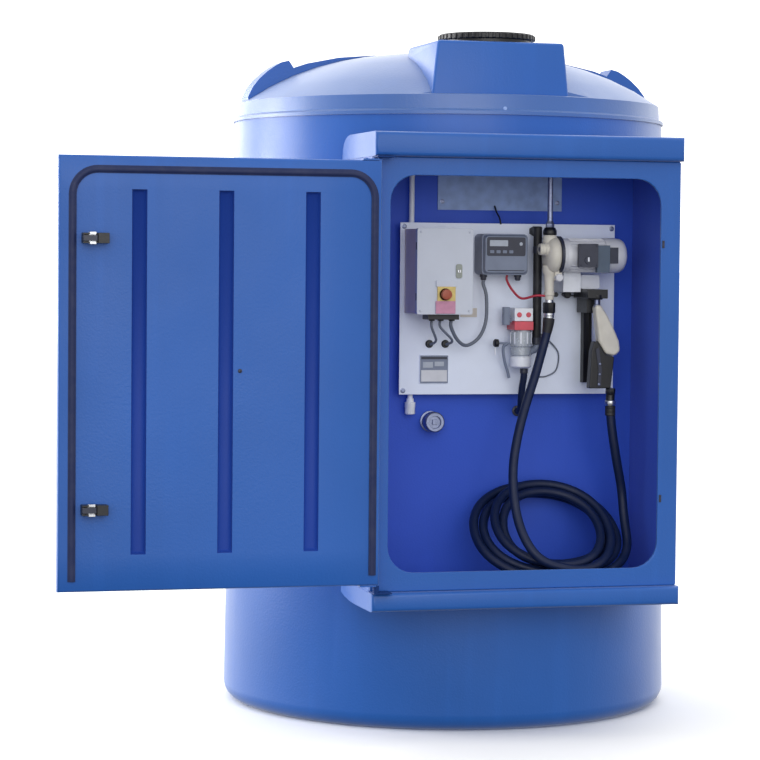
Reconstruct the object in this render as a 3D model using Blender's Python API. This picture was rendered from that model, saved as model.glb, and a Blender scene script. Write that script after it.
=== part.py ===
# Vertical storage tank with a front dispensing cabinet, in metres, +Z up.
# The origin is the centre of the tank's flat base and the cabinet faces -Y.
# The door is modelled swung fully open, parallel to the cabinet's front.
import math

import bmesh
import bpy
from mathutils import Matrix, Vector

GAP = 0.0003            # seam between touching solids

# Tank
TOP_RADIUS = 0.750      # at the parting seam
FLAT_RADIUS = 0.720     # flat part of the base
FOOT_CORNER = 0.057     # rounding between the base and the widest part
WALL = 0.012
SEAM_Z = 2.020
SHOULDER_RADIUS = 0.740
SHOULDER_Z = 2.085
DOME_TOP_Z = 2.265
ROUND_STEPS = 64

# Neck with its lid, at the front of the dome, and the flat ledge below its face
NECK_X = -0.0215
NECK_FRONT_Y = -0.690
NECK_BACK_Y = -0.330
NECK_HALF_BOTTOM = 0.2386
NECK_HALF_TOP = 0.2165
NECK_FOOT_Z = 2.060
NECK_TOP_Z = 2.262
LEDGE_Z = 2.087
LEDGE_BACK_Y = -0.678
LID_RADIUS = 0.163
LID_COLLAR = 0.148
LID_AT = (-0.0215, -0.522)
LID_HEIGHT = 0.035

# Raised ribs with lifting ends, across the dome along X, as distances out and heights
RIB_HALF_WIDTH = 0.055
RIB_TOP = [(0.280, 2.2545), (0.412, 2.243), (0.524, 2.220), (0.572, 2.203)]
LIFTING_END = [(0.577, 2.211), (0.589, 2.228), (0.614, 2.222), (0.637, 2.209), (0.665, 2.189),
               (0.693, 2.163), (0.715, 2.135), (0.733, 2.099)]
RIB_FOOT = [(0.728, 2.070), (0.280, 2.180)]

# Cabinet
CAB_HALF = 0.517
CAB_WALL = 0.012
SLAB_HALF = 0.519
SLAB_FRONT_Y = -0.967
FLOOR_Z = (0.430, 0.490)
ROOF_Z = (1.870, 1.948)
ROOF_SWEEP = (-0.640, -0.545, 0.061)    # where its top starts and ends to fall, and by how much
FLOOR_SWEEP = (-0.760, -0.512, 0.051)
FRAME_Y = -0.935
BACK_Y = -0.520
OPEN_X = (-0.459, 0.450)
OPEN_Z = (0.550, 1.812)
OPEN_CORNER = 0.085

# Door, in its open place
HINGE_X = -0.5085
HINGE_Y = -0.978
HINGE_PLATE = 0.005
HINGE_PIN = 0.005
DOOR_X = (-1.521, -0.507)
DOOR_Z = (0.522, 1.854)
DOOR_Y = (-1.010, -0.975)
CHANNEL_X = (-1.2725, -1.002, -0.728)
CHANNEL_WIDTH = 0.047
CHANNEL_DEPTH = 0.010
CHANNEL_Z = (0.634, 1.752)
SEAL_LEFT_X = -1.478
SEAL_RIGHT_X = -0.530
SEAL_TOP_Z = 1.812
SEAL_FOOT_Z = 0.554
SEAL_CORNER = 0.090
SEAL_WIDTH = 0.024
SEAL_PROUD = 0.0055
LATCH_X = -1.411
LATCH_Z = {"upper": 1.602, "lower": 0.775}
LATCH_BODY = (0.080, 0.042, 0.028)

# Equipment panel
PANEL_X = (-0.3265, 0.423)
PANEL_Z = (1.099, 1.668)
PANEL_Y = -0.570
PANEL_SHEET = 0.003

# Pump set on the panel
PUMP_X = 0.1525
PUMP_Y = -0.690
HOUSING_X = (0.135, 0.198)
HOUSING_Y = (-0.728, -0.652)
HOUSING_Z = (1.499, 1.630)
BARREL_Z = 1.417        # lower end of the barrel below the housing
MOTOR_Z = 1.5643
MOTOR_RADIUS = 0.054
FILTER_AT = (0.079, -0.620)
ELBOW_Z = 1.2465        # where the riser hose meets the filter

BARREL_RADIUS = 0.0145
SWIVEL_X = 0.361
SWIVEL_Y = -0.718
RISER_X = 0.1345

# Hose
HOSE_RADIUS = 0.015
RISER_RADIUS = 0.0135
COIL_CENTRE = Vector((0.158, -0.7245, 0.6544))
COIL_LEAN = math.radians(40)
# Reach of the coil's middle line and half of its width there, to the sides, up its slope and down it
COIL_SIDE = (0.213, 0.0645)
COIL_UP = (0.200, 0.045)
COIL_DOWN = (0.175, 0.051)
COIL_HALF_THICK = 0.030

BLUE = (0.030, 0.105, 0.470)
DEEP_BLUE = (0.020, 0.060, 0.330)
WHITE = (0.72, 0.73, 0.75)
GREY = (0.22, 0.23, 0.26)
BLACK = (0.012, 0.012, 0.014)
CREAM = (0.70, 0.67, 0.58)
STEEL = (0.60, 0.61, 0.63)
RED = (0.60, 0.03, 0.03)


def clear_scene():
    for old in list(bpy.data.objects):
        bpy.data.objects.remove(old, do_unlink=True)


def material(name, colour, roughness, metallic=0.0):
    found = bpy.data.materials.get(name)
    if found:
        return found
    made = bpy.data.materials.new(name)
    made.use_nodes = True
    shader = made.node_tree.nodes["Principled BSDF"]
    shader.inputs["Base Color"].default_value = (*colour, 1.0)
    shader.inputs["Roughness"].default_value = roughness
    shader.inputs["Metallic"].default_value = metallic
    return made


def finishes():
    return {
        "moulded": material("moulded_blue", BLUE, 0.45),
        "door": material("door_blue", BLUE, 0.40),
        "inner": material("cabinet_blue", DEEP_BLUE, 0.45),
        "panel": material("panel_white", WHITE, 0.35),
        "grey": material("housing_grey", GREY, 0.50),
        "black": material("housing_black", BLACK, 0.45),
        "rubber": material("rubber", BLACK, 0.75),
        "cream": material("pump_cream", CREAM, 0.45),
        "steel": material("steel", STEEL, 0.30, 1.0),
        "red": material("switch_red", RED, 0.40),
    }


def link(name, mesh, finish):
    thing = bpy.data.objects.new(name, mesh)
    bpy.context.scene.collection.objects.link(thing)
    thing.data.materials.append(finish)
    return thing


def from_bmesh(name, shape, finish, smooth=True):
    bmesh.ops.recalc_face_normals(shape, faces=shape.faces[:])
    mesh = bpy.data.meshes.new(name)
    shape.to_mesh(mesh)
    shape.free()
    if smooth:
        mesh.shade_smooth()
        mesh.set_sharp_from_angle(angle=math.radians(35))
    return link(name, mesh, finish)


def round_edges(thing, width, segments=2):
    bevel = thing.modifiers.new("round", "BEVEL")
    bevel.width = width
    bevel.segments = segments
    bevel.limit_method = "ANGLE"
    bevel.angle_limit = math.radians(40)
    return thing


def box(name, low, high, finish, rounding=0.0, segments=2):
    shape = bmesh.new()
    bmesh.ops.create_cube(shape, size=1.0)
    for vert in shape.verts:
        for axis in range(3):
            vert.co[axis] = low[axis] if vert.co[axis] < 0 else high[axis]
    made = from_bmesh(name, shape, finish, smooth=False)
    if rounding:
        round_edges(made, rounding, segments)
    return made


def prism(name, outline, plane, low, high, finish, rounding=0.0):
    # Extrudes an outline given in two axes along the third one.
    third = ({0, 1, 2} - set(plane)).pop()
    shape = bmesh.new()
    verts = []
    for first, second in outline:
        place = [0.0, 0.0, 0.0]
        place[plane[0]] = first
        place[plane[1]] = second
        place[third] = low
        verts.append(shape.verts.new(place))
    face = shape.faces.new(verts)
    grown = bmesh.ops.extrude_face_region(shape, geom=[face])
    move = [0.0, 0.0, 0.0]
    move[third] = high - low
    moved = [v for v in grown["geom"] if isinstance(v, bmesh.types.BMVert)]
    bmesh.ops.translate(shape, verts=moved, vec=move)
    made = from_bmesh(name, shape, finish, smooth=False)
    if rounding:
        round_edges(made, rounding)
    return made


def turned(name, profile, finish, steps=ROUND_STEPS, centre=(0.0, 0.0)):
    # Spins a closed outline of (radius, height) points about a vertical axis.
    shape = bmesh.new()
    verts = [shape.verts.new((radius, 0.0, height)) for radius, height in profile]
    edges = [shape.edges.new((a, b)) for a, b in zip(verts, verts[1:] + verts[:1])]
    bmesh.ops.spin(shape, geom=verts + edges, cent=(0, 0, 0), axis=(0, 0, 1),
                   angle=math.tau, steps=steps, use_merge=True)
    bmesh.ops.remove_doubles(shape, verts=shape.verts[:], dist=0.00001)
    flat = [edge for edge in shape.edges if not edge.link_faces]
    bmesh.ops.delete(shape, geom=flat, context="EDGES")
    bmesh.ops.translate(shape, verts=shape.verts[:], vec=(*centre, 0.0))
    return from_bmesh(name, shape, finish)


def rod(name, start, end, radius, finish, sides=24, rounding=0.0):
    start, end = Vector(start), Vector(end)
    along = end - start
    shape = bmesh.new()
    bmesh.ops.create_cone(shape, cap_ends=True, segments=sides, radius1=radius, radius2=radius,
                          depth=along.length)
    turn = along.to_track_quat("Z", "Y").to_matrix().to_4x4()
    bmesh.ops.transform(shape, matrix=Matrix.Translation((start + end) / 2) @ turn,
                        verts=shape.verts[:])
    made = from_bmesh(name, shape, finish)
    if rounding:
        round_edges(made, rounding)
    return made


def smooth_route(route, spacing):
    # Points of a Catmull-Rom curve through the route's own points.
    points = [Vector(p) for p in route]
    padded = [2 * points[0] - points[1], *points, 2 * points[-1] - points[-2]]
    line = []
    for before, start, end, after in zip(padded, padded[1:], padded[2:], padded[3:]):
        count = max(1, round((end - start).length / spacing))
        for step in range(count):
            t = step / count
            line.append(0.5 * (2 * start + (end - before) * t
                               + (2 * before - 5 * start + 4 * end - after) * t ** 2
                               + (3 * start - before - 3 * end + after) * t ** 3))
    line.append(points[-1])
    return line


def straight_ends(route, lead):
    # Adds a point near each end, so that the end caps stay square to their seats.
    points = [Vector(p) for p in route]
    start = points[0] + (points[1] - points[0]).normalized() * lead
    end = points[-1] + (points[-2] - points[-1]).normalized() * lead
    return [points[0], start, *points[1:-1], end, points[-1]]


def tube(name, route, radius, finish, spacing=None, resolution=2):
    spacing = spacing or 5 * radius
    line = smooth_route(straight_ends(route, 0.6 * spacing), spacing)
    data = bpy.data.curves.new(name, "CURVE")
    data.dimensions = "3D"
    data.bevel_depth = radius
    data.bevel_resolution = resolution
    data.use_fill_caps = True
    spline = data.splines.new("POLY")
    spline.points.add(len(line) - 1)
    for point, place in zip(spline.points, line):
        point.co = (*place, 1.0)
    return link(name, data, finish)


def cutter(thing):
    thing.hide_render = True
    thing.display_type = "WIRE"
    return thing


def subtract(target, tool):
    cut = target.modifiers.new("cut", "BOOLEAN")
    cut.operation = "DIFFERENCE"
    cut.object = cutter(tool)
    return target


def unite(target, tool):
    # The tool becomes part of the target, so it is only a guide object itself.
    join = target.modifiers.new("join", "BOOLEAN")
    join.operation = "UNION"
    join.object = cutter(tool)
    return target


def arc(centre, radius, start, end, steps):
    points = []
    for step in range(steps + 1):
        angle = math.radians(start + (end - start) * step / steps)
        points.append((centre[0] + radius * math.cos(angle), centre[1] + radius * math.sin(angle)))
    return points


def rounded_rectangle(x, z, radius, steps=6):
    return (arc((x[1] - radius, z[1] - radius), radius, 0, 90, steps)
            + arc((x[0] + radius, z[1] - radius), radius, 90, 180, steps)
            + arc((x[0] + radius, z[0] + radius), radius, 180, 270, steps)
            + arc((x[1] - radius, z[0] + radius), radius, 270, 360, steps))


def dome_height(radius):
    # A flat crown that falls ever faster towards the shoulder's edge.
    crown = DOME_TOP_Z - SHOULDER_Z
    return SHOULDER_Z + crown * (1 - (radius / SHOULDER_RADIUS) ** 2.8)


def dome_outline(offset=0.0):
    # Outer surface of the dome from its edge to the middle, grown by an offset.
    steps = 9
    points = []
    for step in range(steps + 1):
        radius = SHOULDER_RADIUS * (1 - step / steps)
        points.append((radius + offset * radius / SHOULDER_RADIUS, dome_height(radius) + offset))
    return points


def ledge_cut(name, z_low, finish):
    # Everything in front of the neck's face and above the ledge.
    return box(name, (-1.0, -1.0, z_low), (1.0, LEDGE_BACK_Y, 2.5), finish)


def dome_bed(name, finish):
    # The dome's outer shape, grown by the gap, for cutting what stands on it.
    low = 1.9
    bed = turned(name, [(0.0, low), (SHOULDER_RADIUS + GAP, low)] + dome_outline(GAP), finish)
    return subtract(bed, ledge_cut(name + "_ledge", LEDGE_Z + GAP, finish))


def build_tank(finish):
    foot = arc((FLAT_RADIUS, FOOT_CORNER), FOOT_CORNER, -90, 0, 5)
    outer = foot + [(TOP_RADIUS, SEAM_Z)]
    inner_foot = arc((FLAT_RADIUS, FOOT_CORNER), FOOT_CORNER - WALL, 0, -90, 4)
    inner = [(TOP_RADIUS - WALL, SEAM_Z)] + inner_foot
    shell = turned("tank_shell", outer + inner, finish)
    lap = 0.005
    subtract(shell, box("shell_window", (-CAB_HALF - GAP, -1.0, FLOOR_Z[1] - lap),
                        (CAB_HALF + GAP, -0.30, ROOF_Z[0] + lap), finish))
    for z_range, sweep, up in ((FLOOR_Z, FLOOR_SWEEP, False), (ROOF_Z, ROOF_SWEEP, True)):
        subtract(shell, prism("shell_step", slab_outline(z_range, sweep, up, GAP), (1, 2),
                              -SLAB_HALF - GAP, SLAB_HALF + GAP, finish))
    turned("tank_floor", [(0.0, 0.0), (FLAT_RADIUS - GAP, 0.0), (FLAT_RADIUS - GAP, WALL), (0.0, WALL)],
           finish)


def build_dome(finish):
    lip = SEAM_Z + GAP
    outer = [(0.0, lip), (TOP_RADIUS + 0.006, lip), (TOP_RADIUS + 0.006, lip + 0.011),
             (SHOULDER_RADIUS + 0.002, lip + 0.018)]
    dome = turned("tank_dome", outer + dome_outline(), finish)
    inner = [(0.0, lip - 0.05), (SHOULDER_RADIUS - WALL, lip - 0.05)]
    for radius, height in dome_outline():
        inner.append((radius * (1 - WALL / SHOULDER_RADIUS), height - WALL))
    hollow = turned("dome_hollow", inner, finish)
    under_ledge = box("under_ledge", (-1.0, -1.0, LEDGE_Z - 2 * WALL), (1.0, LEDGE_BACK_Y + 2 * WALL, 2.5),
                      finish)
    subtract(hollow, under_ledge)
    subtract(dome, hollow)
    subtract(dome, ledge_cut("dome_ledge", LEDGE_Z, finish))


def build_ribs(finish):
    for side, sign in (("left", -1), ("right", 1)):
        outline = [(sign * x, z) for x, z in RIB_TOP + LIFTING_END + RIB_FOOT]
        rib = prism("rib_" + side, outline, (0, 2), -RIB_HALF_WIDTH, RIB_HALF_WIDTH, finish)
        subtract(rib, dome_bed("rib_bed_" + side, finish))


def build_neck(moulded, black):
    shape = bmesh.new()
    places = ((NECK_FOOT_Z, NECK_HALF_BOTTOM, NECK_BACK_Y + 0.030),
              (NECK_TOP_Z, NECK_HALF_TOP, NECK_BACK_Y))
    rings = []
    for height, half, back in places:
        corners = ((-half, NECK_FRONT_Y), (half, NECK_FRONT_Y), (half, back), (-half, back))
        rings.append([shape.verts.new((NECK_X + x, y, height)) for x, y in corners])
    shape.faces.new(rings[0])
    shape.faces.new(rings[1])
    for index in range(4):
        after = (index + 1) % 4
        shape.faces.new((rings[0][index], rings[0][after], rings[1][after], rings[1][index]))
    neck = from_bmesh("inspection_neck", shape, moulded, smooth=False)
    round_edges(neck, 0.010, 3)
    subtract(neck, dome_bed("neck_bed", moulded))
    low = NECK_TOP_Z + GAP
    step = low + 0.012
    top = low + LID_HEIGHT
    turned("inspection_lid", [(0.0, low), (LID_COLLAR, low), (LID_COLLAR, step), (LID_RADIUS, step),
                              (LID_RADIUS, top - 0.005), (LID_RADIUS - 0.005, top), (0.0, top)],
           black, steps=40, centre=LID_AT)


def slab_outline(z_range, sweep, up, grow=0.0):
    # Side view of a slab: square front, and an end that sweeps back to the tank.
    z_low, z_high = z_range[0] - grow, z_range[1] + grow
    start, end, drop = sweep
    points = [(SLAB_FRONT_Y, z_low), (SLAB_FRONT_Y, z_high)]
    steps = 5
    for step in range(steps + 1):
        angle = math.radians(90 * step / steps)
        y = start + grow + (end - start) * math.sin(angle)
        points.append((y, z_high - drop * (1 - math.cos(angle))))
    back = BACK_Y + CAB_WALL + grow
    points += [(back, z_high - drop), (back, z_low)]
    if up:
        return points
    return [(y, z_low + z_high - z) for y, z in points]


def build_cabinet(moulded, inner):
    slab_rounding = 0.014
    for name, z_range, sweep, up in (("roof", ROOF_Z, ROOF_SWEEP, True),
                                     ("floor", FLOOR_Z, FLOOR_SWEEP, False)):
        outline = slab_outline(z_range, sweep, up)
        slab = prism("cabinet_" + name, outline, (1, 2), -SLAB_HALF, SLAB_HALF, moulded)
        round_edges(slab, slab_rounding, 3)
        # Only the front's and the sides' edges are rounded, so the thin back end stays whole.
        slab.modifiers["round"].limit_method = "WEIGHT"
        weigh_front_edges(slab)
    low, high = FLOOR_Z[1] + GAP, ROOF_Z[0] - GAP
    frame_back = FRAME_Y + CAB_WALL
    back_face = BACK_Y + CAB_WALL
    for side, sign in (("left", -1), ("right", 1)):
        ends = sorted((sign * CAB_HALF, sign * (CAB_HALF - CAB_WALL)))
        box("cabinet_side_" + side, (ends[0], frame_back + GAP, low), (ends[1], back_face, high), inner)
    half = CAB_HALF - CAB_WALL - GAP
    box("cabinet_back", (-half, BACK_Y, low), (half, back_face, high), inner)
    frame = prism("cabinet_front", rounded_rectangle((-CAB_HALF, CAB_HALF), (low, high), 0.004, 1), (0, 2),
                  FRAME_Y, frame_back, moulded)
    opening = prism("opening_cut", rounded_rectangle(OPEN_X, OPEN_Z, OPEN_CORNER), (0, 2),
                    FRAME_Y - 0.05, frame_back + 0.05, moulded)
    subtract(frame, opening)


def weigh_front_edges(slab):
    mesh = slab.data
    weights = mesh.attributes.new("bevel_weight_edge", "FLOAT", "EDGE")
    for edge in mesh.edges:
        ends = [mesh.vertices[index].co for index in edge.vertices]
        if all(abs(end.y - SLAB_FRONT_Y) < GAP for end in ends):
            weights.data[edge.index].value = 1.0


def build_hinges(moulded):
    reach = (HINGE_X - 0.010, HINGE_X + 0.048, HINGE_Y - 0.016, HINGE_Y + 0.040)
    top = ROOF_Z[0] - GAP
    fixed = box("hinge_top", (reach[0], reach[2], top - HINGE_PLATE), (reach[1], reach[3], top), moulded)
    leaf_top = DOOR_Z[1] + HINGE_PLATE
    unite(fixed, rod("hinge_top_pin", (HINGE_X, HINGE_Y, top - HINGE_PLATE / 2),
                     (HINGE_X, HINGE_Y, leaf_top - 0.004), HINGE_PIN, moulded))
    low = FLOOR_Z[1] + GAP
    fixed = box("hinge_bottom", (reach[0], reach[2], low), (reach[1], reach[3], low + HINGE_PLATE), moulded)
    leaf_bottom = DOOR_Z[0] - HINGE_PLATE
    unite(fixed, rod("hinge_collar", (HINGE_X, HINGE_Y, low + HINGE_PLATE / 2),
                     (HINGE_X, HINGE_Y, leaf_bottom - GAP), 2 * HINGE_PIN, moulded))
    unite(fixed, rod("hinge_bottom_pin", (HINGE_X, HINGE_Y, low + HINGE_PLATE / 2),
                     (HINGE_X, HINGE_Y, leaf_bottom + 0.004), HINGE_PIN, moulded))


def build_door(moulded, rubber, black, steel):
    door = box("door_panel", (DOOR_X[0], DOOR_Y[0], DOOR_Z[0]), (DOOR_X[1], DOOR_Y[1], DOOR_Z[1]), moulded)
    round_edges(door, 0.006)
    for name, low, high in (("top", DOOR_Z[1] - 0.010, DOOR_Z[1] + HINGE_PLATE),
                            ("bottom", DOOR_Z[0] - HINGE_PLATE, DOOR_Z[0] + 0.010)):
        leaf = box("leaf_" + name, (HINGE_X - 0.060, HINGE_Y - 0.030, low),
                   (HINGE_X + 0.010, HINGE_Y + 0.010, high), steel)
        eye = rod("eye_" + name, (HINGE_X, HINGE_Y, low - 0.01), (HINGE_X, HINGE_Y, high + 0.02),
                  HINGE_PIN + 0.0005, steel)
        unite(door, leaf)
        subtract(door, eye)
    for centre in CHANNEL_X:
        half = CHANNEL_WIDTH / 2
        groove = box("channel", (centre - half, DOOR_Y[0] - 0.02, CHANNEL_Z[0]),
                     (centre + half, DOOR_Y[0] + CHANNEL_DEPTH, CHANNEL_Z[1]), moulded)
        subtract(door, groove)
    face = DOOR_Y[0] - GAP
    half = SEAL_WIDTH / 2
    outer = [(SEAL_LEFT_X - half, SEAL_FOOT_Z)]
    outer += arc((SEAL_LEFT_X - half + SEAL_CORNER, SEAL_TOP_Z + half - SEAL_CORNER), SEAL_CORNER, 180, 90, 6)
    outer += arc((SEAL_RIGHT_X + half - SEAL_CORNER, SEAL_TOP_Z + half - SEAL_CORNER), SEAL_CORNER, 90, 0, 6)
    outer += [(SEAL_RIGHT_X + half, SEAL_FOOT_Z)]
    bend = SEAL_CORNER - SEAL_WIDTH
    inner = [(SEAL_RIGHT_X - half, SEAL_FOOT_Z)]
    inner += arc((SEAL_RIGHT_X - half - bend, SEAL_TOP_Z - half - bend), bend, 0, 90, 6)
    inner += arc((SEAL_LEFT_X + half + bend, SEAL_TOP_Z - half - bend), bend, 90, 180, 6)
    inner += [(SEAL_LEFT_X + half, SEAL_FOOT_Z)]
    prism("door_seal", outer + inner, (0, 2), face - SEAL_PROUD, face, rubber)
    for name, height in LATCH_Z.items():
        build_latch(name, height, face, black, steel)


def build_latch(name, height, face, black, steel):
    width, depth, tall = LATCH_BODY
    bolt_half = 0.009
    bolt_y = (face - 0.0395, face - 0.0285)
    body = box("latch_" + name, (LATCH_X - width / 2, face - depth, height - tall / 2),
               (LATCH_X + width / 2, face, height + tall / 2), black)
    bolt_start = LATCH_X - width / 2 + 0.001
    bolt_end = LATCH_X + 0.004
    clear = 0.0006
    slot = box("bolt_slot_" + name, (LATCH_X - width, bolt_y[0] - clear, height - bolt_half - clear),
               (bolt_end + clear, bolt_y[1] + clear, height + bolt_half + clear), black)
    subtract(body, slot)
    box("bolt_" + name, (bolt_start, bolt_y[0], height - bolt_half),
        (bolt_end, bolt_y[1], height + bolt_half), steel)


def build_panel(panel, grey, black, red):
    back = PANEL_Y + PANEL_SHEET
    plate = box("panel_plate", (PANEL_X[0], PANEL_Y, PANEL_Z[0]), (PANEL_X[1], back, PANEL_Z[1]), panel)
    for name, x in (("left", -0.215), ("right", 0.330)):
        unite(plate, box("rail_" + name, (x - 0.02, back - PANEL_SHEET / 2, PANEL_Z[0] + 0.03),
                         (x + 0.02, BACK_Y - GAP, PANEL_Z[1] - 0.03), panel))
    face = PANEL_Y - GAP
    unite(plate, box("blank_plate", (-0.257, -0.574, 1.137), (-0.159, PANEL_Y + PANEL_SHEET / 2, 1.230), grey))
    control = box("control_box", (-0.313, -0.730, 1.3675), (-0.1235, face, 1.648), panel)
    unite(control, box("switch_plate", (-0.249, -0.7353, 1.396), (-0.180, -0.720, 1.478), panel))
    unite(control, box("gland_block", (-0.268, -0.700, 1.350), (-0.162, -0.640, 1.380), black))
    rod("switch_knob", (-0.218, -0.7356, 1.433), (-0.218, -0.757, 1.433), 0.017, red, rounding=0.002)
    soft = 0.010
    left, right, front = -0.0705, 0.0885, -0.668
    outline = [(left, face), (left, front + soft), (left + soft, front), (right - soft, front),
               (right, front + soft), (right, face)]
    display = prism("display_unit", outline, (0, 1), 1.4975, 1.633, grey)
    for name, x in (("left", -0.051), ("right", 0.068)):
        unite(display, rod("display_gland_" + name, (x, -0.610, 1.510), (x, -0.610, 1.478), 0.009, black))
    box("top_plate", (-0.186, BACK_Y - 0.0043, 1.712), (0.249, BACK_Y - GAP, 1.862), grey)


def build_cables(grey, red):
    face = PANEL_Y - 2 * GAP
    for name, start_x, end_x in (("left", -0.245, -0.224), ("middle", -0.215, -0.169)):
        tube("cable_" + name, [(start_x, -0.670, 1.3497), (start_x, -0.670, 1.325), (end_x, -0.650, 1.282),
                               (end_x, -0.595, 1.267), (end_x, face, 1.267)], 0.004, grey, 0.014)
    tube("cable_loop", [(-0.177, -0.665, 1.3497), (-0.177, -0.665, 1.325), (-0.150, -0.650, 1.282),
                        (-0.112, -0.630, 1.264), (-0.068, -0.622, 1.290), (-0.044, -0.620, 1.345),
                        (-0.042, -0.616, 1.425), (-0.051, -0.610, 1.465), (-0.051, -0.610, 1.4777)],
         0.005, grey, 0.016)
    barrel_side = PUMP_X - BARREL_RADIUS - 2 * GAP
    tube("cable_red", [(0.0275, -0.620, 1.4972), (0.0275, -0.620, 1.480), (0.0400, -0.640, 1.448),
                       (0.0660, -0.662, 1.4205), (0.1050, PUMP_Y, 1.4300), (barrel_side, PUMP_Y, 1.4300)],
         0.004, red, 0.012)


def build_pump(cream, black, steel):
    body = box("pump_body", (HOUSING_X[0], HOUSING_Y[0], HOUSING_Z[0]),
               (HOUSING_X[1], HOUSING_Y[1], HOUSING_Z[1]), cream, 0.014, 3)
    centre = sum(HOUSING_Z) / 2
    unite(body, rod("pump_barrel", (PUMP_X, PUMP_Y, BARREL_Z), (PUMP_X, PUMP_Y, centre), BARREL_RADIUS, cream))
    unite(body, box("pump_bracket", (0.158, PUMP_Y, 1.520), (0.192, PANEL_Y - GAP, 1.605), steel))
    unite(body, rod("pump_boss", (PUMP_X, -0.706, 1.583), (0.111, -0.706, 1.583), 0.021, cream))
    pipe = rod("supply_pipe", (PUMP_X, PUMP_Y, 1.640), (PUMP_X, PUMP_Y, ROOF_Z[0] - GAP), 0.009, cream)
    unite(pipe, rod("pump_cap", (PUMP_X, PUMP_Y, HOUSING_Z[1] + GAP), (PUMP_X, PUMP_Y, 1.655), 0.0226, black))
    start = HOUSING_X[1] + GAP
    motor = rod("pump_motor", (start + 0.002, PUMP_Y, MOTOR_Z), (0.340, PUMP_Y, MOTOR_Z), MOTOR_RADIUS, cream, 32)
    unite(motor, rod("motor_ring", (start, PUMP_Y, MOTOR_Z), (start + 0.010, PUMP_Y, MOTOR_Z), 0.060, black, 32))
    unite(motor, rod("motor_end", (0.334, PUMP_Y, MOTOR_Z), (0.411, PUMP_Y, MOTOR_Z), 0.0585, cream, 32,
                     rounding=0.008))
    unite(motor, box("motor_foot", (0.209, -0.668, 1.4423), (0.270, PANEL_Y - GAP, 1.535), cream))
    box("terminal_box", (0.231, -0.766, 1.5265), (0.294, PUMP_Y - MOTOR_RADIUS - GAP, 1.601), black, 0.004)
    outlet = rod("pump_outlet", (PUMP_X, PUMP_Y, BARREL_Z - GAP), (PUMP_X, PUMP_Y, 1.356), HOSE_RADIUS, steel)
    unite(outlet, rod("outlet_nut", (PUMP_X, PUMP_Y, 1.408), (PUMP_X, PUMP_Y, 1.373), 0.0205, black, 8))


def build_valve(red, cream, steel):
    face = PANEL_Y - GAP
    box("valve_head", (0.045, -0.655, 1.315), (0.111, face, 1.388), red, 0.003)
    top, bottom = 1.315 - GAP, 1.188
    profile = [(0.0, bottom), (0.030, bottom), (0.036, 1.194), (0.036, 1.225), (0.031, 1.230), (0.031, 1.238),
               (0.036, 1.240), (0.036, 1.255), (0.033, 1.259), (0.037, 1.264), (0.037, 1.306), (0.030, top),
               (0.0, top)]
    bowl = turned("valve_bowl", profile, cream, steps=28, centre=FILTER_AT)
    unite(bowl, rod("valve_elbow", (FILTER_AT[0], -0.618, ELBOW_Z), (RISER_X + RISER_RADIUS, -0.618, ELBOW_Z),
                    RISER_RADIUS, steel))
    unite(bowl, rod("valve_socket", (RISER_X, -0.618, ELBOW_Z), (RISER_X, -0.618, 1.2665), RISER_RADIUS, steel))
    unite(bowl, rod("valve_arm", (FILTER_AT[0], -0.618, 1.271), (-0.008, -0.618, 1.271), 0.004, steel))
    unite(bowl, rod("valve_knob", (0.000, -0.618, 1.271), (-0.016, -0.618, 1.271), 0.010, steel))
    rod("drain_coupling", (-0.205, BACK_Y - GAP, 1.007), (-0.205, -0.585, 1.007), 0.035, steel, rounding=0.004)
    vent = rod("vent_pipe", (-0.2815, -0.545, 1.060), (-0.2815, -0.545, ROOF_Z[0] - GAP), 0.009, cream)
    unite(vent, rod("vent_fitting", (-0.2815, -0.545, 1.032), (-0.2815, -0.545, 1.085), 0.018, cream))


def build_nozzle(panel, cream, black, steel):
    face = PANEL_Y - GAP
    holster = box("nozzle_holster", (0.305, -0.600, 1.138), (0.335, face, 1.460), black)
    unite(holster, box("holster_hook", (0.272, -0.745, 1.4225), (0.342, -0.590, 1.452), black))
    unite(holster, box("holster_back", (0.284, -0.690, 1.374), (0.332, -0.590, 1.430), black))
    unite(holster, box("holster_box", (0.275, -0.650, 1.445), (0.343, face, 1.500), panel))
    body = [(0.2985, 1.386), (0.3005, 1.4013), (0.3185, 1.4013), (0.340, 1.3697), (0.3619, 1.3297),
            (0.3837, 1.2819), (0.3884, 1.250), (0.376, 1.2365), (0.3633, 1.2330), (0.3375, 1.2390),
            (0.3117, 1.2818), (0.3055, 1.3378)]
    nozzle = prism("nozzle_body", body, (0, 2), -0.738, -0.698, cream)
    unite(nozzle, rod("nozzle_spout", (0.3095, -0.718, 1.395), (0.3095, -0.718, 1.4222), 0.008, steel))
    grip = [(0.2815, 1.1250), (0.3560, 1.1250), (0.3676, 1.2262), (0.3640, 1.2315), (0.3368, 1.2375),
            (0.3100, 1.2800), (0.2975, 1.2800), (0.2886, 1.250)]
    prism("nozzle_grip", grip, (0, 2), -0.735, -0.701, black, 0.003)
    rod("nozzle_swivel", (SWIVEL_X, SWIVEL_Y, 1.1247), (SWIVEL_X, SWIVEL_Y, 1.066), 0.0185, steel)


def coil_point(across, down, out):
    # Row coordinates of a point of the leaning coil: across, down its slope, out of its plane.
    slope = Vector((0.0, -math.cos(COIL_LEAN), -math.sin(COIL_LEAN)))
    normal = Vector((0.0, -math.sin(COIL_LEAN), math.cos(COIL_LEAN)))
    return COIL_CENTRE + Vector((across, 0.0, 0.0)) + down * slope + out * normal


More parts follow.
